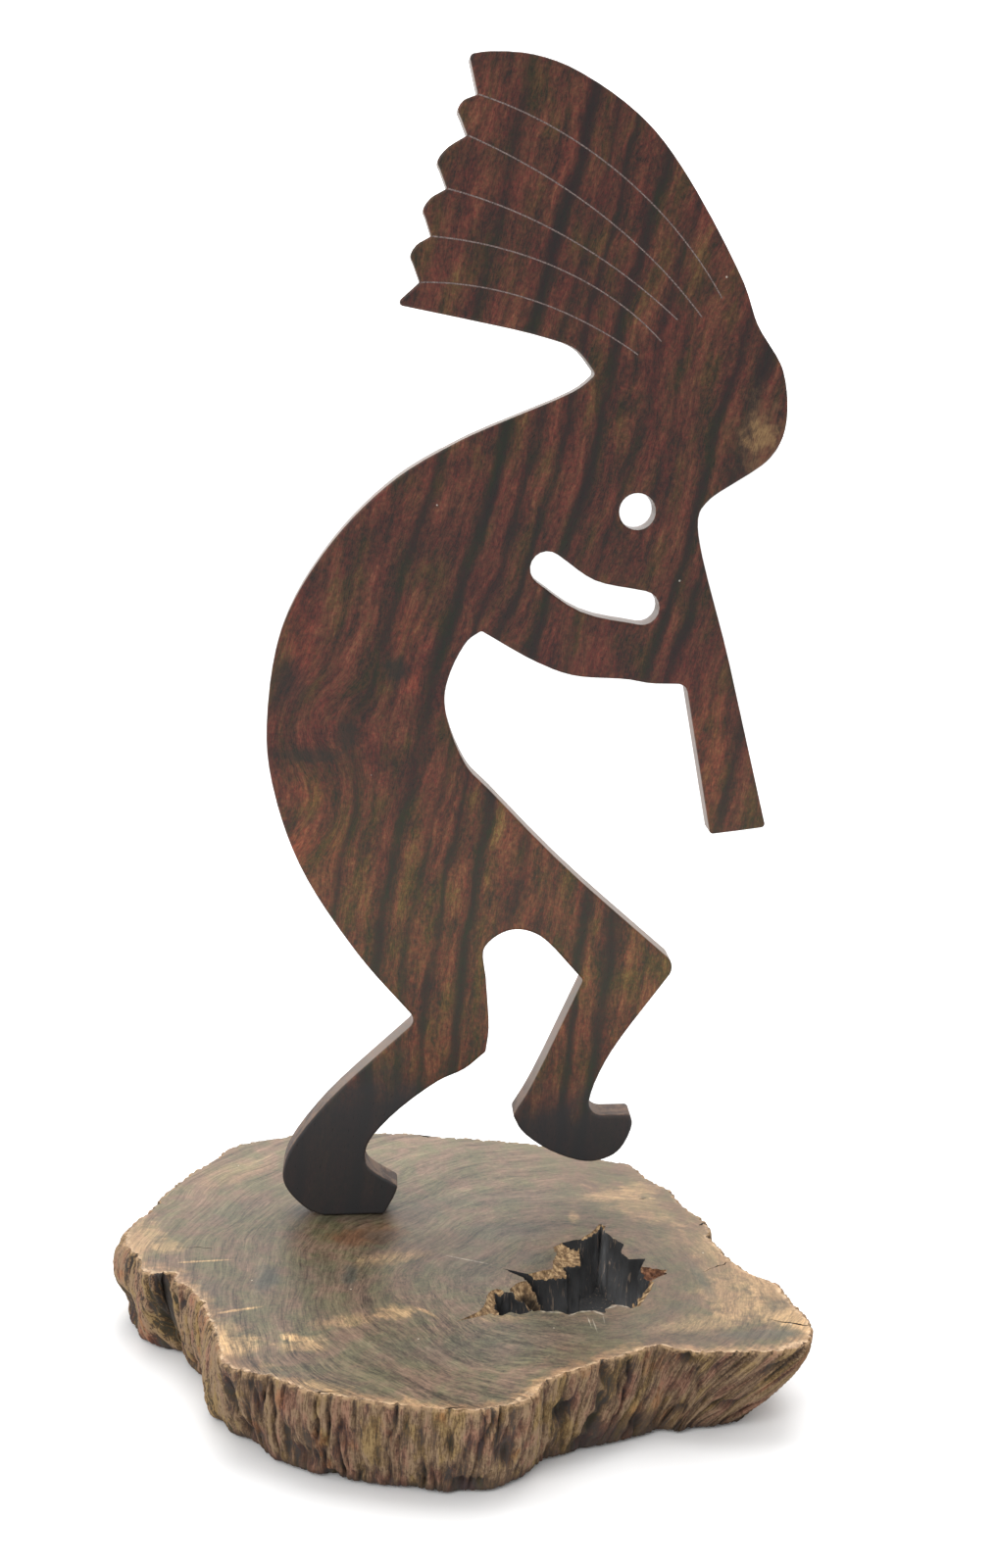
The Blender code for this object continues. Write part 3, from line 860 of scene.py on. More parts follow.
def torn_ledge(name, outline, depth, run_in):
    """A drawn ledge as a tool, with a floor of slivers that slopes down from the drawn line."""
    ledge = drawn_line(name, outline, LEDGE_CUTS)
    bpy.ops.mesh.edge_face_add()
    extrude(0, 0, -ABOVE - LEDGE_DROP)
    bpy.ops.mesh.quads_convert_to_tris(ngon_method="BEAUTY")
    bpy.ops.mesh.subdivide(number_cuts=SLIVER_CUTS)
    select_all()
    bpy.ops.mesh.quads_convert_to_tris(ngon_method="BEAUTY")
    face_outward()
    leave_edit()
    points = points_of(ledge)
    floor = points[:, 2] < top_mm
    inner = np.clip(beyond(points, outline) / run_in, 0, 1)
    rough = noise_over(points, (0.9, 0.9, 9), 33.0) + 0.6 * noise_over(points, (0.45, 0.45, 9), 47.0)
    ragged = noise_over(points * (1, 1, 0), (1.1, 1.1, 1), 58.0)
    points[:, 2] -= floor * inner * (depth + rough)
    points[:, :2] += (ragged * RAGGED)[:, None]
    put_points(ledge, points)
    return ledge


ledges = [torn_ledge(name, *row) for name, row in LEDGES.items()]
print("ledges:", [triangles(ledge) for ledge in ledges], "triangles")

# %% [markdown]
# The drying cracks are thin blades with pointed ends, made from a four-sided cylinder that is stretched,
# turned to its line, and made to waver a little.

# %% Model the cracks
# Two ends in mm, the greatest width and the depth in mm
CRACKS = [
    ((84.5, -46.2), (100, -50.8), 0.75, 7), ((72, -17.6), (84.5, -10), 0.5, 4),
    ((-76.6, 7.1), (-63.5, 6.3), 0.28, 1.5), ((76.5, 12), (80.6, 14.4), 1.3, 2.5),
    ((60.9, 31.2), (63.2, 31.8), 1, 1.6),
]
CRACK_CUTS = 11
CRACK_WAVER = 0.9


def crack(start, end, width, depth):
    """A wavering blade with pointed ends, along a line."""
    line = Vector(end) - Vector(start)
    middle = (Vector(start) + Vector(end)) / 2
    select_none()
    bpy.ops.mesh.primitive_cylinder_add(
        vertices=4, radius=MM, depth=2 * MM, location=(middle.x * MM, middle.y * MM, TOP),
        rotation=(0, 0, math.atan2(line.y, line.x)), scale=(line.length / 2, width / 2, depth))
    bpy.ops.object.transform_apply(location=True, rotation=True, scale=True)
    tool = bpy.context.object
    edit(tool)
    select_all()
    bpy.ops.mesh.subdivide(number_cuts=CRACK_CUTS)
    leave_edit()
    points = points_of(tool)
    for axis in (0, 1):
        points[:, axis] += CRACK_WAVER * noise_over(points, (2.4, 2.4, 5), 20.0 + 13 * axis)
    put_points(tool, points)
    return tool


cracks = join([crack(*row) for row in CRACKS], "drying_cracks")
print("cracks:", triangles(cracks), "triangles")

# %% [markdown]
# ### The slice's end grain
# The top is cut across the grain, so it shows growth rings round the heart. Rings are noise read over the
# distance from the pith. The bearing enters as its cosine and sine, so that there is no seam, and wide
# noise bends the distance first, because this tree grew anything but round. The finish is an old sealer:
# greyish, a little green, a little mauve, and golden where sapwood or burl shines through.

# %% Build the end grain
PITH = (40, -20, 0)
# Centre x, y and half width, half height in mm, a turn in degrees, then how strong
GOLDEN = [
    (-41.8, -47.6, 3.4, 2.2, -20, 1.2), (-57, -52, 8, 6, 15, 0.75), (-38, -52, 7, 4, 0, 0.55),
    (-60, -47, 4, 10, -25, 0.35), (-14, -35.5, 5.5, 4, 5, 0.65), (-27, -39.5, 10, 3.5, 12, 0.35),
    (-5, -37, 4, 0.9, -50, 0.6), (53, 34, 13, 4.5, 8, 0.27), (62, 38, 6, 7, 0, 0.4),
    (39.7, 19.6, 1.8, 5, 0, 0.5), (60, 26, 20, 8, -50, 0.3), (71, 2, 11, 8, -50, 0.12),
    (78, -12, 8, 16, 10, 0.3), (78, -31, 9, 11, 0, 0.4), (88, -28, 6, 10, 20, 0.65),
    (90, -45, 5, 8, 30, 0.8), (95, -50, 3, 6, 0, 0.7), (68, -47, 15, 5, 15, 0.35),
    (82, -40, 12, 8, 0, 0.45), (-87, 13, 6, 12, 0, 0.4), (-80, 8, 6, 5, 0, 0.4),
    (-33, -74, 9, 3, -25, 0.45), (23.5, -77, 6, 3, 28, 0.5), (-68, -2, 8, 0.5, 3, 0.8),
    (-56.5, -31.6, 6, 0.7, 14, 0.9), (-32, 33, 9, 2, 20, 0.3), (-14, -3, 12, 4, 15, 0.42),
    (-64, 58, 16, 8, 40, 0.16), (14, -40, 8, 3, 0, 0.3),
]
# Rust, and near the foot a painted dark reflection and painted shadow of the foot.
RUST_AND_FOOT_SHADE = [
    (-26, 10, 9, 6, -10, 1), (-17, 12, 8, 7, 0, 1.25), (-4, 4, 14, 9, 20, 0.45), (-72, -30, 4, 6, 0, 0.3),
    (-55, -61, 9, 6, -20, 0.7), (61, -55, 10, 4, 0, 0.65), (-10, 24, 8, 5, 0, 1),
]
# Dark stains, and painted shade: a shadow round the foot, and shade beside the upper torn ledge.
STAINS_AND_SHADOWS = [
    (-50, -14, 4, 9, 0, 1.05), (-18, 11.5, 6, 5, 0, 0.7), (-46, -66, 6, 3, -30, 0.5),
    (-53, -61, 4, 3, 0, 0.4), (-26.5, -13.5, 2.6, 8, 0, 0.95), (-38, -12, 14, 8, 3, 0.25),
    (82, -54, 14, 3, 0, 0.7), (71.5, -22, 1.8, 15, 8, 0.5), (62, -38, 10, 3, 30, 0.3),
    (26, -6, 6, 6, 25, 0.6), (30, -49, 34, 9, 5, 0.4), (12, 34, 30, 6, 3, 0.3), (90, -38, 3, 7, -40, 0.5),
    (8, -14, 8, 12, 0, 0.3), (-4, 4, 20, 7, 0, 0.25), (0, -58, 30, 8, -5, 0.4), (-62, 30, 14, 8, 40, 0.3),
    (-66, -22, 6, 10, 0, 0.4), (61, -55, 11, 5, 0, 0.45), (20, 12, 15, 7, 0, 0.5),
    (-8, 25, 9, 7, 0, 0.65), (-26, 24, 18, 4, 0, 0.5), (-41, 30, 5, 5, 0, 0.6),
]
SCRAPED = [
    (27.8, -38.2, 3.4, 0.5, -10, 0.7), (33.5, -39.8, 1.9, 0.5, 38, 0.7), (37, -38.4, 2.4, 0.5, 8, 0.8),
    (40.6, -39.4, 2.2, 0.5, -40, 0.8), (44.6, -36.3, 2, 0.5, 32, 0.8), (48, -36.2, 2.2, 0.5, -25, 0.7),
    (37.6, -44, 0.2, 3, 4, 0.8), (38.8, -46, 0.2, 4, 4, 0.7), (41.6, -43.4, 0.2, 2.4, 0, 0.6),
    (7, -6, 9, 0.35, -27, 0.6),
]
GREY_GREEN = (0.104, 0.090, 0.049)
WARM_RIGHT = (1.0, 0.95, 0.86)
MAUVE = (0.140, 0.089, 0.060)
GOLD = (0.49, 0.305, 0.145)
STAIN_AND_SHADOW_GREY = (0.052, 0.052, 0.042)
RUST_AND_SHADE_BROWN = (0.108, 0.050, 0.025)
RIM_GLOW = (0.44, 0.25, 0.12)
RIM_EDGE_WEAR_AND_HIGHLIGHT = (0.66, 0.46, 0.28)
PALE = (0.40, 0.35, 0.27)
UNDERSIDE = (0.30, 0.22, 0.145)
DUST = (0.6, 0.52, 0.4)


def bent(vector, scale, amount):
    """The vector pushed about by colour noise, in mm."""
    made = add("TexNoise", {"Vector": vector, "Scale": scale, "Detail": 2.0, "Roughness": 0.5})
    push = vector_maths("SUBTRACT", made.outputs["Color"], (0.5, 0.5, 0.5))
    return vector_maths("ADD", vector, stretched(push, (amount,) * 3))


def ring_noise(spacing, turn, detail=2.0):
    """Noise in rings: its bearing enters as cosine and sine, so it closes without a seam."""
    circle = stretched(vector_maths("NORMALIZE", around), (turn, turn, 0))
    lift = add("CombineXYZ", {"X": 0.0, "Y": 0.0, "Z": maths("DIVIDE", radius, spacing)})
    return grain_noise(vector_maths("ADD", circle, lift), 1.0, detail=detail, roughness=0.6)


def turned_patch(x, y, wide, high, turn, ragged):
    """A soft patch of the end grain that is turned about its middle."""
    inputs = {"Vector": flat, "Center": (x, y, 0), "Angle": math.radians(-turn)}
    rotated = add("VectorRotate", inputs, rotation_type="Z_AXIS")
    return patch(rotated, blot, (x, y, 0), (wide, high, 100), ragged)


end_grain, shader, in_mm = new_material("sealed end grain", 0.42, 0.22)
flat = stretched(in_mm, (1, 1, 0))
warped = bent(bent(flat, 0.016, 24), 0.08, 1.2)
around = vector_maths("SUBTRACT", warped, PITH)
radius = vector_maths("LENGTH", around)
wide_rings = ring_noise(6.0, 1.6)
rings = ring_noise(1.3, 5.0, detail=3)
hair = ring_noise(0.5, 20.0)
mottle = grain_noise(flat, 0.5, detail=4, roughness=0.7)
speckle = grain_noise(flat, 1.1, roughness=0.75)
hue = grain_noise(warped, 0.12, detail=4, roughness=0.65)
color = ramp(spread(hue, 0.34, 0.66), [(0.0, GREY_GREEN), (1.0, MAUVE)])
at = axes(in_mm)
color = shaded(color, spread(at["Y"], 25, 70, 0.915, 1.16))
color = tinted(spread(at["X"], 0, 60), color, WARM_RIGHT)
blot = grain_noise(flat, 0.22, detail=5, roughness=0.65)
from_rim_value = add("Attribute", attribute_name="from_rim").outputs["Fac"]
in_front = spread(at["Y"], 45, -25, 0.12, 1.0)
glow = spread(swung(from_rim_value, (blot, -9.0)), 5.0, -1.0)
color = blend(times(glow, times(in_front, 0.46)), color, RIM_GLOW)
streaky = times_plus(hair, 0.8, 0.5)
print("rings and hues:", len(tree.nodes), "nodes")

# %% [markdown]
# Sapwood, rust, stains and scratches lie where the photo has them, as turned soft patches. The rings then
# only lighten and darken what is there, as a sealer's colour sits over the grain.
# Among the patches are also a painted shadow and a painted dark reflection round the foot, and painted
# shade beside the upper ledge.

# %% Put its patches, rings and edge on it
THIN_COAT = 0.8
PATCHES = ((GOLDEN, GOLD, 0.8), (RUST_AND_FOOT_SHADE, RUST_AND_SHADE_BROWN, 0.6), (STAINS_AND_SHADOWS, STAIN_AND_SHADOW_GREY, 0.5), (SCRAPED, PALE, 0.25))
for patches, paint, ragged in PATCHES:
    for *place, strength in patches:
        share = times(times(turned_patch(*place, ragged), streaky), strength * THIN_COAT, clamp=True)
        color = blend(share, color, paint)
contrast = swung(1.0, (wide_rings, 0.6), (rings, 0.8), (hair, 0.75), (mottle, 0.45), (speckle, 0.5))
for spacing, turn, width, amount in ((4.5, 2.2, 0.022, 0.34), (1.7, 6.0, 0.03, 0.22)):
    contrast = times_plus(thin_lines(ring_noise(spacing, turn, detail=3), width), amount, contrast)
to_right = times_plus(maths("ABSOLUTE", at["Y"]), 0.5, at["X"])
nearer = times(spread(at["Y"], -15, -60, 1.0, 1.35), spread(to_right, 52, 72, 1.0, 0.6))
contrast = times_plus(minus(contrast, 1.0), nearer, 1.0)
color = shaded(color, maths("MAXIMUM", contrast, 0.25))
# A broken pale line along the rim, strongest at the front: partly a worn edge and partly a painted
# highlight.
broken = spread(grain_noise(flat, 0.4, detail=4, roughness=0.7), 0.42, 0.64, 0.0, 0.75)
pale_edge_and_highlight = times(spread(from_rim_value, 1.3, 0.1), broken)
color = blend(times(pale_edge_and_highlight, in_front), color, RIM_EDGE_WEAR_AND_HIGHLIGHT)
color = blend(times(use(specks_group, in_mm, 9.0, 0.28, 0.3)[0], 0.6), color, DUST)
underneath = spread(at["Z"], 3, 1)
color = blend(underneath, color, blend(0.5, color, UNDERSIDE))
put(shader.inputs["Roughness"], plus(times_plus(hair, 0.25, 0.27), times(underneath, 0.35)))
finish(shader, color, plus(rings, times(hair, 0.6)), 0.3, 0.08)
print("end grain:", len(tree.nodes), "nodes")

# %% [markdown]
# ### The fissured wall, the hollow and the raw splinters
# The wall's colour follows the "ridge" value on its points: weathered wood is pale where it stands proud,
# and it is nearly black where it is deep, partly from weathering and partly as painted shade in the
# crevices. The fibres are read at the "fibre" place, which has the ribs' slant in it. The very rim is a
# broken, paler line, partly worn wood and partly a painted highlight.

# %% Build the wall
WALL_TONES = [
    (0, (0.054, 0.046, 0.04)), (0.28, (0.068, 0.047, 0.035)), (0.52, (0.108, 0.067, 0.041)),
    (0.76, (0.16, 0.101, 0.06)), (1, (0.255, 0.172, 0.102)),
]
# Place from the left tip to the right, from 0 to 1, and how light the wall is there: painted shade where
# less light falls on it
SIDE_PAINTED_SHADE = [(0.15, 1), (0.3, 0.9), (0.45, 0.9), (0.52, 1), (0.62, 1), (0.74, 0.86), (0.92, 0.98)]
RIM_WEAR_AND_HIGHLIGHT = (0.35, 0.225, 0.12)
RIM_LINE_WEAR_AND_HIGHLIGHT = (0.38, 0.25, 0.14)
PINKISH = (1.04, 0.84, 0.92)
YELLOWISH = (1.06, 1.06, 0.78)
REDDISH = (1.14, 0.86, 0.74)
# Painted shade under the undercut at the front: centre and reach in mm, and how ragged
UNDERCUT_SHADE = ((43, -64, 1), (17, 20, 8), 0.5)

wall, shader, in_mm = new_material("fissured weathered wall", 0.82, 0.25)
ridge_value = add("Attribute", attribute_name="ridge").outputs["Fac"]
fibre_value = add("Attribute", attribute_name="fibre").outputs["Vector"]
at = axes(in_mm)
thread = use(fibres_group, fibre_value, 2.3, 0.28)[0]
coarse = use(fibres_group, fibre_value, 0.55, 0.07)[0]
blots = grain_noise(fibre_value, (0.12, 0.12, 0.14))
grit = grain_noise(in_mm, 1.1, roughness=0.7)
small = swung(swing(thread, 0.22), (coarse, 0.21), (grit, 0.55))
fine_line = grain_noise(fibre_value, (0.8, 0.8, 0.12))
small = minus(small, times(thin_lines(fine_line, 0.035), 0.32))
# Thin light lines along the fibres: painted highlights on the rib crests.
crest = grain_noise(fibre_value, (0.55, 0.55, 0.08))
small = times_plus(thin_lines(crest, 0.05), 0.16, small)
small = times(small, spread(at["X"], -50, -68, 1.0, 2.2))
# Pale on the ribs and nearly black in the crevices and pockets: partly weathering and partly painted
# shade.
tone = plus(ridge_value, times_plus(blots, 0.5, -0.245))
tone = times_plus(minus(tone, 0.45), spread(at["X"], -55, -75, 0.9, 1.35), 0.475)
tone = plus(tone, small)
# Painted shade: the wall darker along its foot and under the undercut.
painted_foot_shade = spread(plus(at["Z"], times_plus(blots, -6.0, 3.0)), 4.5, 0.0)
painted_foot_shade = maths("MAXIMUM", painted_foot_shade, patch(in_mm, blots, *UNDERCUT_SHADE))
color = ramp(times(tone, times_plus(painted_foot_shade, -0.62, 1.0), clamp=True), WALL_TONES)
hue = grain_noise(fibre_value, (0.2, 0.2, 0.09), roughness=0.6)
rust = grain_noise(fibre_value, (0.11, 0.11, 0.07), roughness=0.6)
for where, low, high, tint in (
        (hue, 0.50, 0.66, PINKISH), (hue, 0.50, 0.36, YELLOWISH), (rust, 0.56, 0.68, REDDISH)):
    color = tinted(spread(where, low, high), color, tint)
# The broken pale band at the rim and the thin line at the very top: partly worn wood and partly a painted
# highlight.
rim_noise = grain_noise(in_mm, 0.9, roughness=0.65)
at_rim = spread(minus(at["Z"], times_plus(rim_noise, 3.6, 22.0)), -0.3, 0.9)
chipped_and_highlit = times(at_rim, spread(rim_noise, 0.36, 0.58, 0.5, 0.08))
color = blend(times(chipped_and_highlit, spread(ridge_value, 0.1, 0.6)), color, RIM_WEAR_AND_HIGHLIGHT)
line_noise = spread(grain_noise(in_mm, 0.55, roughness=0.6), 0.46, 0.60, 0.0, 0.85)
color = blend(times(spread(at["Z"], 24.35, 24.75), line_noise), color, RIM_LINE_WEAR_AND_HIGHLIGHT)
along_front = times_plus(at["X"], 0.005, 0.5)
# Painted shade along the wall, darkest towards the undercut right.
color = tinted(1.0, color, ramp(along_front, [(place, (value,) * 3) for place, value in SIDE_PAINTED_SHADE]))
finish(shader, color, thread, 0.6, 0.18)
print("wall:", len(tree.nodes), "nodes")

# %% Build the rotted heart and the torn wood
ROTTEN_TONES = [(0, (0.037, 0.038, 0.039)), (0.84, (0.041, 0.04, 0.04)), (1, (0.15, 0.115, 0.09))]
TORN_TONES = [(0.3, (0.055, 0.036, 0.022)), (0.48, (0.22, 0.135, 0.068)), (0.66, (0.56, 0.39, 0.21))]
DARK_TORN = (0.36, 0.22, 0.20)
# Painted light in the cleft at the back of the hollow, where little light reaches, and the right ledge's
# dark side: centre and reach in mm, and how ragged
CLEFT_PAINTED_LIGHT = ((47.5, 12, 14), (3, 6.5, 17), 0.0)
DARK_SIDE = ((58, -17, 24), (7, 6, 12), 0.3)

rotten, shader, in_mm = new_material("rotted dark heart", 0.9, 0.2)
thread = use(fibres_group, in_mm, 1.1, 0.14)[0]
color = ramp(thread, ROTTEN_TONES)
# Painted light and shade: the rotted wood is lighter further down where less light reaches, darker where
# it faces up, and lighter still in the cleft.
upward = axes(add("NewGeometry").outputs["Normal"])["Z"]
painted_depth_light = times(spread(axes(in_mm)["Z"], 24, 8, 1.0, 3.8), spread(upward, 0.5, 0.9, 1.0, 0.6))
painted_depth_light = times(painted_depth_light, times_plus(patch(in_mm, 0.5, *CLEFT_PAINTED_LIGHT), 2.2, 1.0))
finish(shader, shaded(color, painted_depth_light), thread, 0.7, 0.2)
print("rotted heart:", len(tree.nodes), "nodes")

torn, shader, in_mm = new_material("torn golden wood", 0.8, 0.25)
grit = grain_noise(in_mm, (0.75, 0.75, 0.3), detail=4, roughness=0.62)
color = tinted(patch(in_mm, grit, *DARK_SIDE), ramp(grit, TORN_TONES), DARK_TORN)
# Painted shade: the torn wood darker further down the ledges.
finish(shader, shaded(color, spread(axes(in_mm)["Z"], 23.3, 20.6, 1.0, 0.12)), grit, 0.8, 0.3)
print("torn wood:", len(tree.nodes), "nodes")

# %% Give each face of the slice its wood, then make the cuts
UPRIGHT = 0.98
work_on(drum)
drum.data.materials.append(end_grain)
drum.data.materials.append(wall)
edit(drum)
pick(drum, "FACE", lambda f: abs(f.normal.z) < UPRIGHT)
drum.active_material_index = 1
bpy.ops.object.material_slot_assign()
leave_edit()
for tool in [star_hole, side_hole, cracks] + ledges:
    tool.data.materials.append(torn if tool in ledges else rotten)
    cut_with(drum, tool, "cut")
    print("cut slice:", triangles(drum), "triangles")

# %% [markdown]
# The sawn top is one huge face, yet its colour depends on how far a point is from the rim, where the
# sapwood glows. Such values are kept on vertices, so the top is cut in squares, and each corner can hold
# its own distance.

# %% Cut the top into squares
SQUARE = 10
LEFT_END, RIGHT_END = -96, 108
LEVEL = 0.999
edit(drum)
pick(drum, "FACE", lambda f: f.normal.z < LEVEL or f.calc_center_median().z < TOP - NEAR)
bpy.ops.mesh.hide(unselected=False)
for place in range(LEFT_END, RIGHT_END, SQUARE):
    for normal in ((1, 0, 0), (0, 1, 0)):
        select_all()
        bpy.ops.mesh.bisect(plane_co=(place * MM, place * MM, TOP), plane_no=normal)
bpy.ops.mesh.reveal(select=False)
leave_edit()
print("top in squares:", triangles(drum), "triangles")

# %% [markdown]
# ### The worn wall
# The wall leans in or out by a different amount on each side, and at the right it is undercut, so that
# the slice overhangs the table. The ridges lean too: upright in front, and more and more slanting towards
# the right tip. Both are short lists over the bearing round the slice.

# %% How the wall leans, and how its ridges slant
WALL_BULGE = 1.6
# Bearing in degrees, and how far the foot of the wall leans out there, in mm
WALL_LEAN = [
    (0, -7), (60, -5), (110, -3), (150, -1), (168, 0), (180, 0), (183, -3), (187, -8), (194, 0),
    (204, -2), (214, 1), (221, -3), (227, -8), (236, -2), (245, -3), (268, -3), (283, -5), (300, -1),
    (311, 1), (319, -9), (323, -13), (328, -18), (333, -15), (338, -11), (346, -9), (360, -7),
]
# Height up the wall, and the share of the lean that is still there
LEAN_SHARE = [(0, 1), (0.1, 0.94), (0.36, 0.62), (0.64, 0.3), (0.88, 0.05), (1, 0)]
# Bearing, and how far a ridge moves back round the slice for each mm down the wall
RIDGE_SLANT = [
    (0, 0.6), (60, 0), (200, -0.15), (240, 0), (285, 0.1), (297, 0.42), (310, 0.5), (320, 0.95),
    (328, 1.6), (336, 1.3), (360, 0.6),
]


def eased(value, table):
    """Reads a short table of (place, value) with smooth steps between its rows."""
    places, values = np.array(table, float).T
    row = np.clip(np.searchsorted(places, value, side="right") - 1, 0, len(places) - 2)
    t = np.clip((value - places[row]) / (places[row + 1] - places[row]), 0, 1)
    return values[row] + (values[row + 1] - values[row]) * t * t * (3 - 2 * t)


print("the foot leans out by", [lean for _, lean in WALL_LEAN], "mm")

# %% [markdown]
# The fissures are where a noise field crosses zero. Such places form long, thin lines that part and join
# again, as cracks in weathered wood do, while the ground between them swells into ribs. Finer fields
# split each rib, a broad one folds the whole wall, and a few deep pockets stand where the wood has
# rotted. The noise is read where the fibre through each vertex comes out on top, so the ribs follow the
# fibres.

# %% Work out how deep each point of the wall is worn
# Pockets of lost wood: x, y and z in mm, half width, half height, and depth
POCKETS = [
    (-78.5, -9.6, 16, 2.6, 12, 4.5), (-74.5, -14.6, 15, 1.7, 7.5, 3.4), (-58, -61, 13.5, 2.9, 8, 5),
    (-53.5, -60.1, 6.5, 2.6, 5, 3.4), (-34.5, -77, 16.9, 0.9, 2, 1.6), (-37, -74.5, 6.5, 4.5, 3.4, 2.2),
    (-30.9, -74.3, 1, 2.4, 2.4, 3), (-23.7, -80.3, 17.1, 0.8, 2.6, 1.3),
    (-1.6, -87.1, 16.6, 1.3, 3.6, 1.9), (3.2, -85.4, 2.6, 5, 2.6, 2.6),
    (12.9, -85.6, 11.8, 1.3, 3.4, 2.2), (16.6, -84.5, 18.6, 1, 2.4, 1.3), (23, -75.3, 18.5, 1.4, 7, 2.8),
    (24, -71.3, 7.5, 1.2, 7, 2.4), (28.4, -71.9, 15.1, 2.8, 2.4, 3.8), (33.6, -67, 3, 3.6, 3.4, 3.4),
    (39.5, -65.9, 21, 1.6, 3.6, 2.6), (37.6, -66.4, 14.5, 2, 4.4, 3.2), (35.9, -67, 9.1, 2.4, 4, 3.6),
    (46, -62.8, 21, 0.9, 3.4, 1.5), (44.2, -64.1, 14, 1, 3.6, 1.6), (47.9, -62.3, 5.9, 1.8, 2.4, 2.2),
    (60.8, -62.4, 23.2, 2.6, 1.3, 2.4), (64.4, -62.7, 16.2, 1, 3.4, 1.5), (71.5, -60.7, 9, 4.2, 1.2, 1.8),
    (-91, 6, 7.5, 7, 5.5, 2.7), (-82, -8.4, 12, 1.1, 9, 2.2),
]
# A swelling that stands out: x, y and z in mm, half width, half height, and how far out
SWELLING = (-94, 18, 18.5, 14, 9, 3)
# The wall was measured over its ribs, so the wear starts this far outside it
PROUD = 1.25
FOLD_DEPTH = 1.8


def crease(value, width):
    """One where the value crosses zero, and nothing beyond a few widths."""
    return np.exp(-(value / width) ** 2)


def mound(place, row):
    """A smooth mound on the wall: its height at each place."""
    x, y, z, half_width, half_height, height = row
    aside = np.hypot(place[:, 0] - x, place[:, 1] - y) / half_width
    up = (place[:, 2] - z) / half_height
    return height * np.exp(-(aside**2 + up**2) ** 1.5)


def wall_depth(fibre, place):
    """Depth of wear in mm, and how much of it is narrow crevice, at fibre places and real places."""
    waver = noise_over(fibre, (7, 7, 9), 40.0)[:, None] * (1.3, 1.3, 0) + fibre
    folds = noise_over(fibre, (15, 15, 60), 11.3)
    main = noise_over(waver, (3.9, 3.9, 22), 3.1)
    split = noise_over(waver, (2.0, 2.0, 12), 17.7)
    hair = noise_over(waver, (1.05, 1.05, 8), 29.9)
    strength = np.clip(0.55 + 1.5 * noise_over(fibre, (8, 8, 11), 53.0), 0.1, 1.2)
    crumble = noise_over(place, (1.6, 1.6, 1.4), 61.0)
    ribs = np.clip(1 - np.abs(main) / 0.42, 0, 1) ** 1.4 * 0.70
    clefts = crease(main, 0.10) * strength
    fine = crease(split, 0.12) * 0.65 * np.clip(strength + 0.2, 0.2, 1.1)
    finest = crease(hair, 0.2) * 0.28
    narrow = ribs + clefts + fine + finest + 0.2 * crumble
    ragged = 1 + 0.5 * noise_over(fibre, (1.3, 1.3, 5), 83.0)
    hollows = np.zeros(len(place))
    for pocket in POCKETS:
        hollows = np.maximum(hollows, mound(place, pocket) * ragged)
    depth = FOLD_DEPTH * np.clip(0.35 - folds, 0, 1) + narrow + hollows - mound(place, SWELLING) - PROUD
    return depth, narrow * ragged + 0.75 * hollows


print("pockets:", len(POCKETS), "and the deepest is", max(row[-1] for row in POCKETS), "mm")

# %% [markdown]
# Only the outer wall is worn. The move fades with the distance from the rim, so the hollow and the flat
# top stay as they were cut. The top and foot arrises are rounded on the way.

# %% Move the wall's points in
rim_tree = KDTree(len(rim))
for i, (x, y) in enumerate(rim):
    rim_tree.insert((x, y, 0), i)
rim_tree.balance()
drum_points = points_of(drum)
found = [rim_tree.find((x, y, 0)) for x, y, _ in drum_points]
nearest = np.array([index for _, index, _ in found])
inside = np.array([distance for _, _, distance in found])
held = np.interp(inside, (1.0, 4.0), (1, 0))[:, None]
share_up = np.clip(drum_points[:, 2] / top_mm, 0, 1)
lean = eased(bearing, WALL_LEAN)[nearest] * np.interp(share_up, *np.array(LEAN_SHARE).T)
bulge = WALL_BULGE * np.sin(np.pi * share_up)
from_middle = np.linalg.norm(rim[nearest], axis=1)
leaned = rim[nearest] * (1 + (lean + bulge) / from_middle)[:, None]

slid = nearest + eased(bearing, RIDGE_SLANT)[nearest] * (top_mm - drum_points[:, 2]) / rim_step
low = np.floor(slid).astype(int)
part = (slid - low)[:, None]
surfacing = rim[low % len(rim)] * (1 - part) + rim[(low + 1) % len(rim)] * part
fibre_place = np.column_stack([surfacing, drum_points[:, 2]])
worn, crevice = wall_depth(fibre_place, np.column_stack([leaned, drum_points[:, 2]]))

TOP_SHARE = 0.6
FOOT_WEAR = 1.8
worn *= np.interp(share_up, (0, 0.03, 0.14, 0.9, 0.975, 1), (0.5, 0.6, 1, 1, 0.7, TOP_SHARE))
above = np.clip(1 - (top_mm - drum_points[:, 2]) / (RIM_WEAR / MM), 0, 1)
below = np.clip(1 - drum_points[:, 2] / FOOT_WEAR, 0, 1)
rounded = RIM_WEAR / MM * (1 - np.sqrt(1 - above**2)) + FOOT_WEAR * (1 - np.sqrt(1 - below**2))
moved = drum_points.copy()
moved[:, :2] += held * (leaned - rim[nearest] - rim_out[nearest] * (worn + rounded)[:, None])
chips = noise_over(np.column_stack([rim[nearest], share_up]), (1.7, 1.7, 1), 71.0)
edge_ring = (inside < 0.05) & (above > 0) & (above < 0.95)
moved[edge_ring, 2] -= np.clip(chips[edge_ring] * 1.5, -0.2, 0.9)
put_points(drum, moved)
print("wear from", round(worn.min(), 2), "to", round(worn.max(), 2), "mm, mean", round(worn.mean(), 2))

# %% [markdown]
# The materials have to know how the wall was worn. Three values stay on its points: the distance from the
# rim, how proud of the crevices it stands, and its place along the fibres.

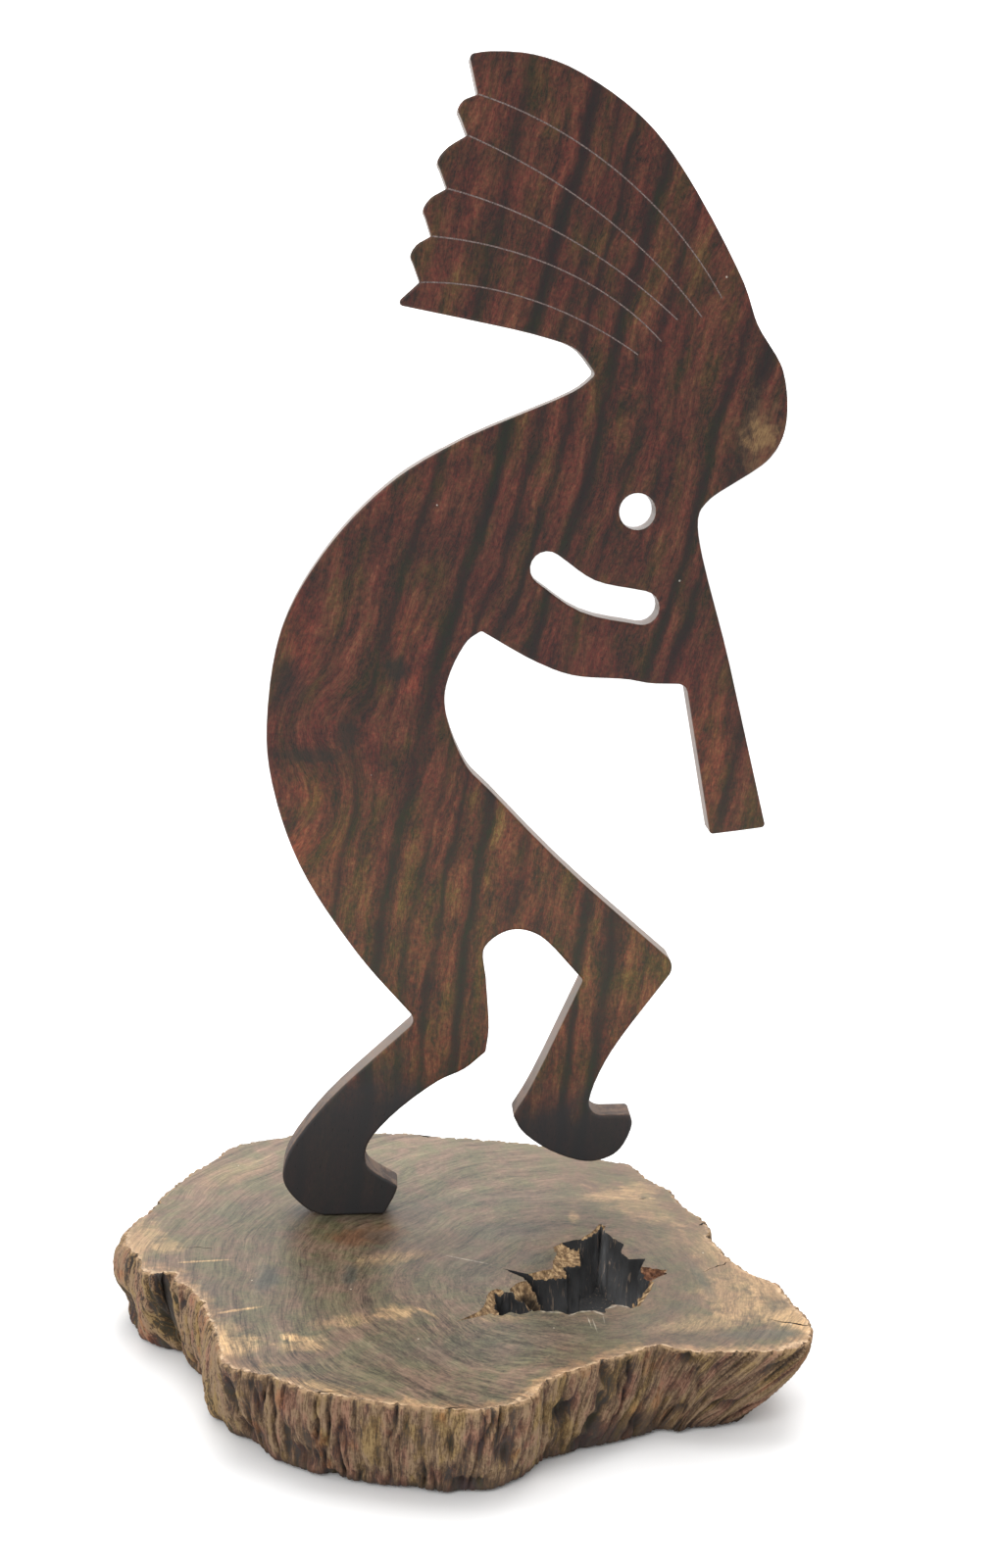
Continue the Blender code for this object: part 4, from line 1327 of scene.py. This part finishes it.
# %% Keep three values on the points for the materials
CREVICE_DEEP = 2.6
kept_values = {
    "from_rim": ("FLOAT", "value", inside),
    "ridge": ("FLOAT", "value", np.clip(1 - crevice / CREVICE_DEEP, 0, 1)),
    "fibre": ("FLOAT_VECTOR", "vector", fibre_place.ravel()),
}
for name, (kind, field, values) in kept_values.items():
    kept = drum.data.attributes.new(name, kind, "POINT")
    kept.data.foreach_set(field, values.astype(np.float32))
print("kept on", len(drum.data.vertices), "points:", list(kept_values))

# %% [markdown]
# The sawn top is one flat face beside slanting ones. Its border is marked sharp, so that its shading
# stays flat right up to the torn edges.

# %% Finish the slice
SMOOTH_BELOW = 55
edit(drum)
pick(drum, "FACE", lambda f: f.normal.z > LEVEL and f.calc_center_median().z > TOP - NEAR)
bpy.ops.mesh.region_to_loop()
bpy.ops.mesh.mark_sharp()
leave_edit()
smooth_faces(drum, SMOOTH_BELOW)
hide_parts("log_base")
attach(drum, "root")
print("finished slice:", triangles(drum), "triangles", [m.name for m in drum.data.materials])

# %% [markdown]
# ## Floor and light
# The floor is plain and pale. The light is that of a product photo: a bright white surrounding, brighter
# behind than in front, which gives the sawn sides their glare, and soft boxes above.

# %% Lay the floor
FLOOR_SIZE = 8
FLOOR_DROP = 0.2 * MM
select_none()
bpy.ops.mesh.primitive_plane_add(size=FLOOR_SIZE, location=(0, 0, -FLOOR_DROP))
floor = bpy.context.object
floor.name = "pale_floor"
floor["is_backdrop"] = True
paper, shader, in_mm = new_material("pale floor", 0.9, 0.1)
put(shader.inputs["Base Color"], (0.86, 0.86, 0.86))
floor.data.materials.append(paper)
print("floor:", FLOOR_SIZE, "m wide,", round(FLOOR_DROP / MM, 1), "mm under the slice")

# %% Light it
FRONT_WHITE = 0.85
BACK_WHITE = 1.9
LIGHT_AIM = Vector((0, 0, 0.15))
world = bpy.data.worlds.new("white surrounding")
bpy.context.scene.world = world
world.use_nodes = True
work_in(world.node_tree)
towards_back = axes(add("TexCoord").outputs["Generated"])["Y"]
background = tree.nodes["Background"]
put(background.inputs["Color"], (1, 1, 1))
put(background.inputs["Strength"], spread(towards_back, -0.3, 0.8, FRONT_WHITE, BACK_WHITE))


def soft_box(name, place, size, power):
    """A square area light that looks at the middle of the figure."""
    select_none()
    aim = LIGHT_AIM - Vector(place)
    turn = aim.to_track_quat("-Z", "Y").to_euler()
    bpy.ops.object.light_add(type="AREA", location=place, rotation=turn)
    light = bpy.context.object
    light.name = name
    light.data.size = size
    light.data.energy = power


soft_box("overhead_box", (0.1, 0.35, 1.1), 0.9, 9)
soft_box("key_box", (-0.7, -0.9, 0.9), 0.8, 7)
bpy.context.scene.view_settings.view_transform = "Standard"

# %% [markdown]
# ## Size and finish
# The finished model has to keep the CAD model's size, so both boxes are written down.

# %% Print the two sizes
new_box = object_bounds()
for label, box in (("CAD", cad_box), ("scene", new_box)):
    print(label, [[round(value / MM, 1) for value in corner] for corner in box])
